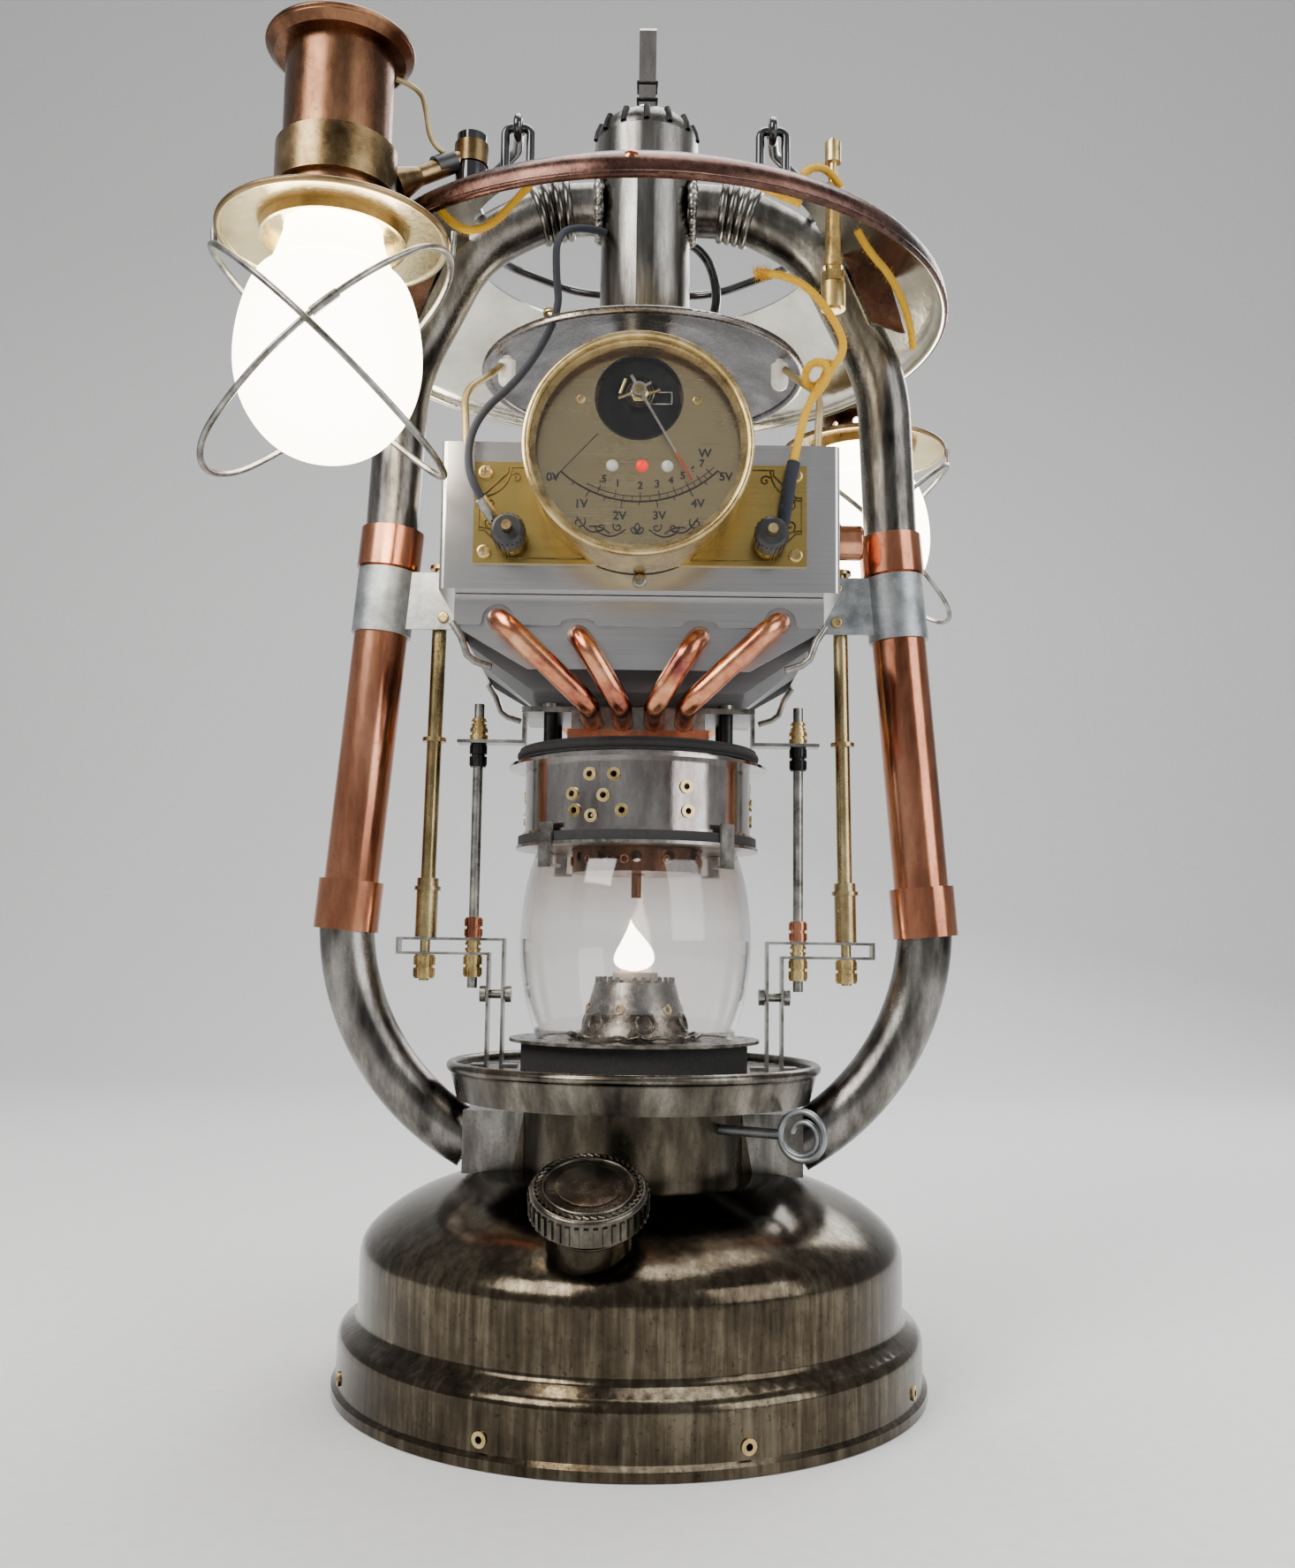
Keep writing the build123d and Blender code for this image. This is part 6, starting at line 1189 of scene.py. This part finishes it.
def stage_floor():
    """A plain pale floor that turns up into a wall far behind the lamp."""
    bm = bmesh.new()
    profile = [(FLOOR_FRONT, FLOOR_Z), (FLOOR_BACK, FLOOR_Z)]
    for step in range(1, 13):
        turn = math.radians(90 * step / 12)
        height = FLOOR_Z + FLOOR_BEND - FLOOR_BEND * math.cos(turn)
        profile.append((FLOOR_BACK + FLOOR_BEND * math.sin(turn), height))
    profile.append((FLOOR_BACK + FLOOR_BEND, WALL_TOP))
    rows = [[bm.verts.new((x, y, z)) for y, z in profile] for x in (-FLOOR_HALF, 0.0, FLOOR_HALF)]
    for left, right in zip(rows, rows[1:]):
        for i in range(len(profile) - 1):
            bm.faces.new((left[i], right[i], right[i + 1], left[i + 1]))
    bmesh.ops.recalc_face_normals(bm, faces=bm.faces)
    paint = Tree("floor_paint")
    grain = paint.noise(paint.mapped(), 240, 3)
    paint.set(color=paint.ramp(grain, [(0.3, (0.72, 0.72, 0.715)), (0.7, (0.77, 0.77, 0.765))]), rough=0.75)
    from_bmesh("floor", bm, "floor_paint", body=None, sharp=60)


def soft_light(name, place, target_z, size, power, tint=(1, 1, 1)):
    """A soft box that faces the lamp's axis at a height."""
    data = bpy.data.lights.new(name, "AREA")
    data.shape = "RECTANGLE"
    data.size, data.size_y = size
    data.energy = power
    data.color = tint
    obj = add_object(name, data)
    obj.location = place
    obj.rotation_euler = (Vector((0, 0, target_z)) - Vector(place)).to_track_quat("-Z", "Y").to_euler()


stage_floor()
soft_light("key", (-0.75, -0.85, 0.95), 0.2, (0.7, 0.7), 17, (1, 0.985, 0.96))
soft_light("fill", (0.95, -0.7, 0.55), 0.2, (0.8, 0.8), 8, (0.96, 0.98, 1))
soft_light("top", (0.1, 0.15, 1.25), 0.2, (0.9, 0.9), 12)
soft_light("back", (0.5, 0.9, 0.8), 0.25, (0.7, 0.5), 7)
world = bpy.data.worlds.new("studio")
scene.world = world
world.use_nodes = True
backdrop = world.node_tree.nodes["Background"]
backdrop.inputs["Color"].default_value = (0.86, 0.87, 0.88, 1)
backdrop.inputs["Strength"].default_value = 0.42
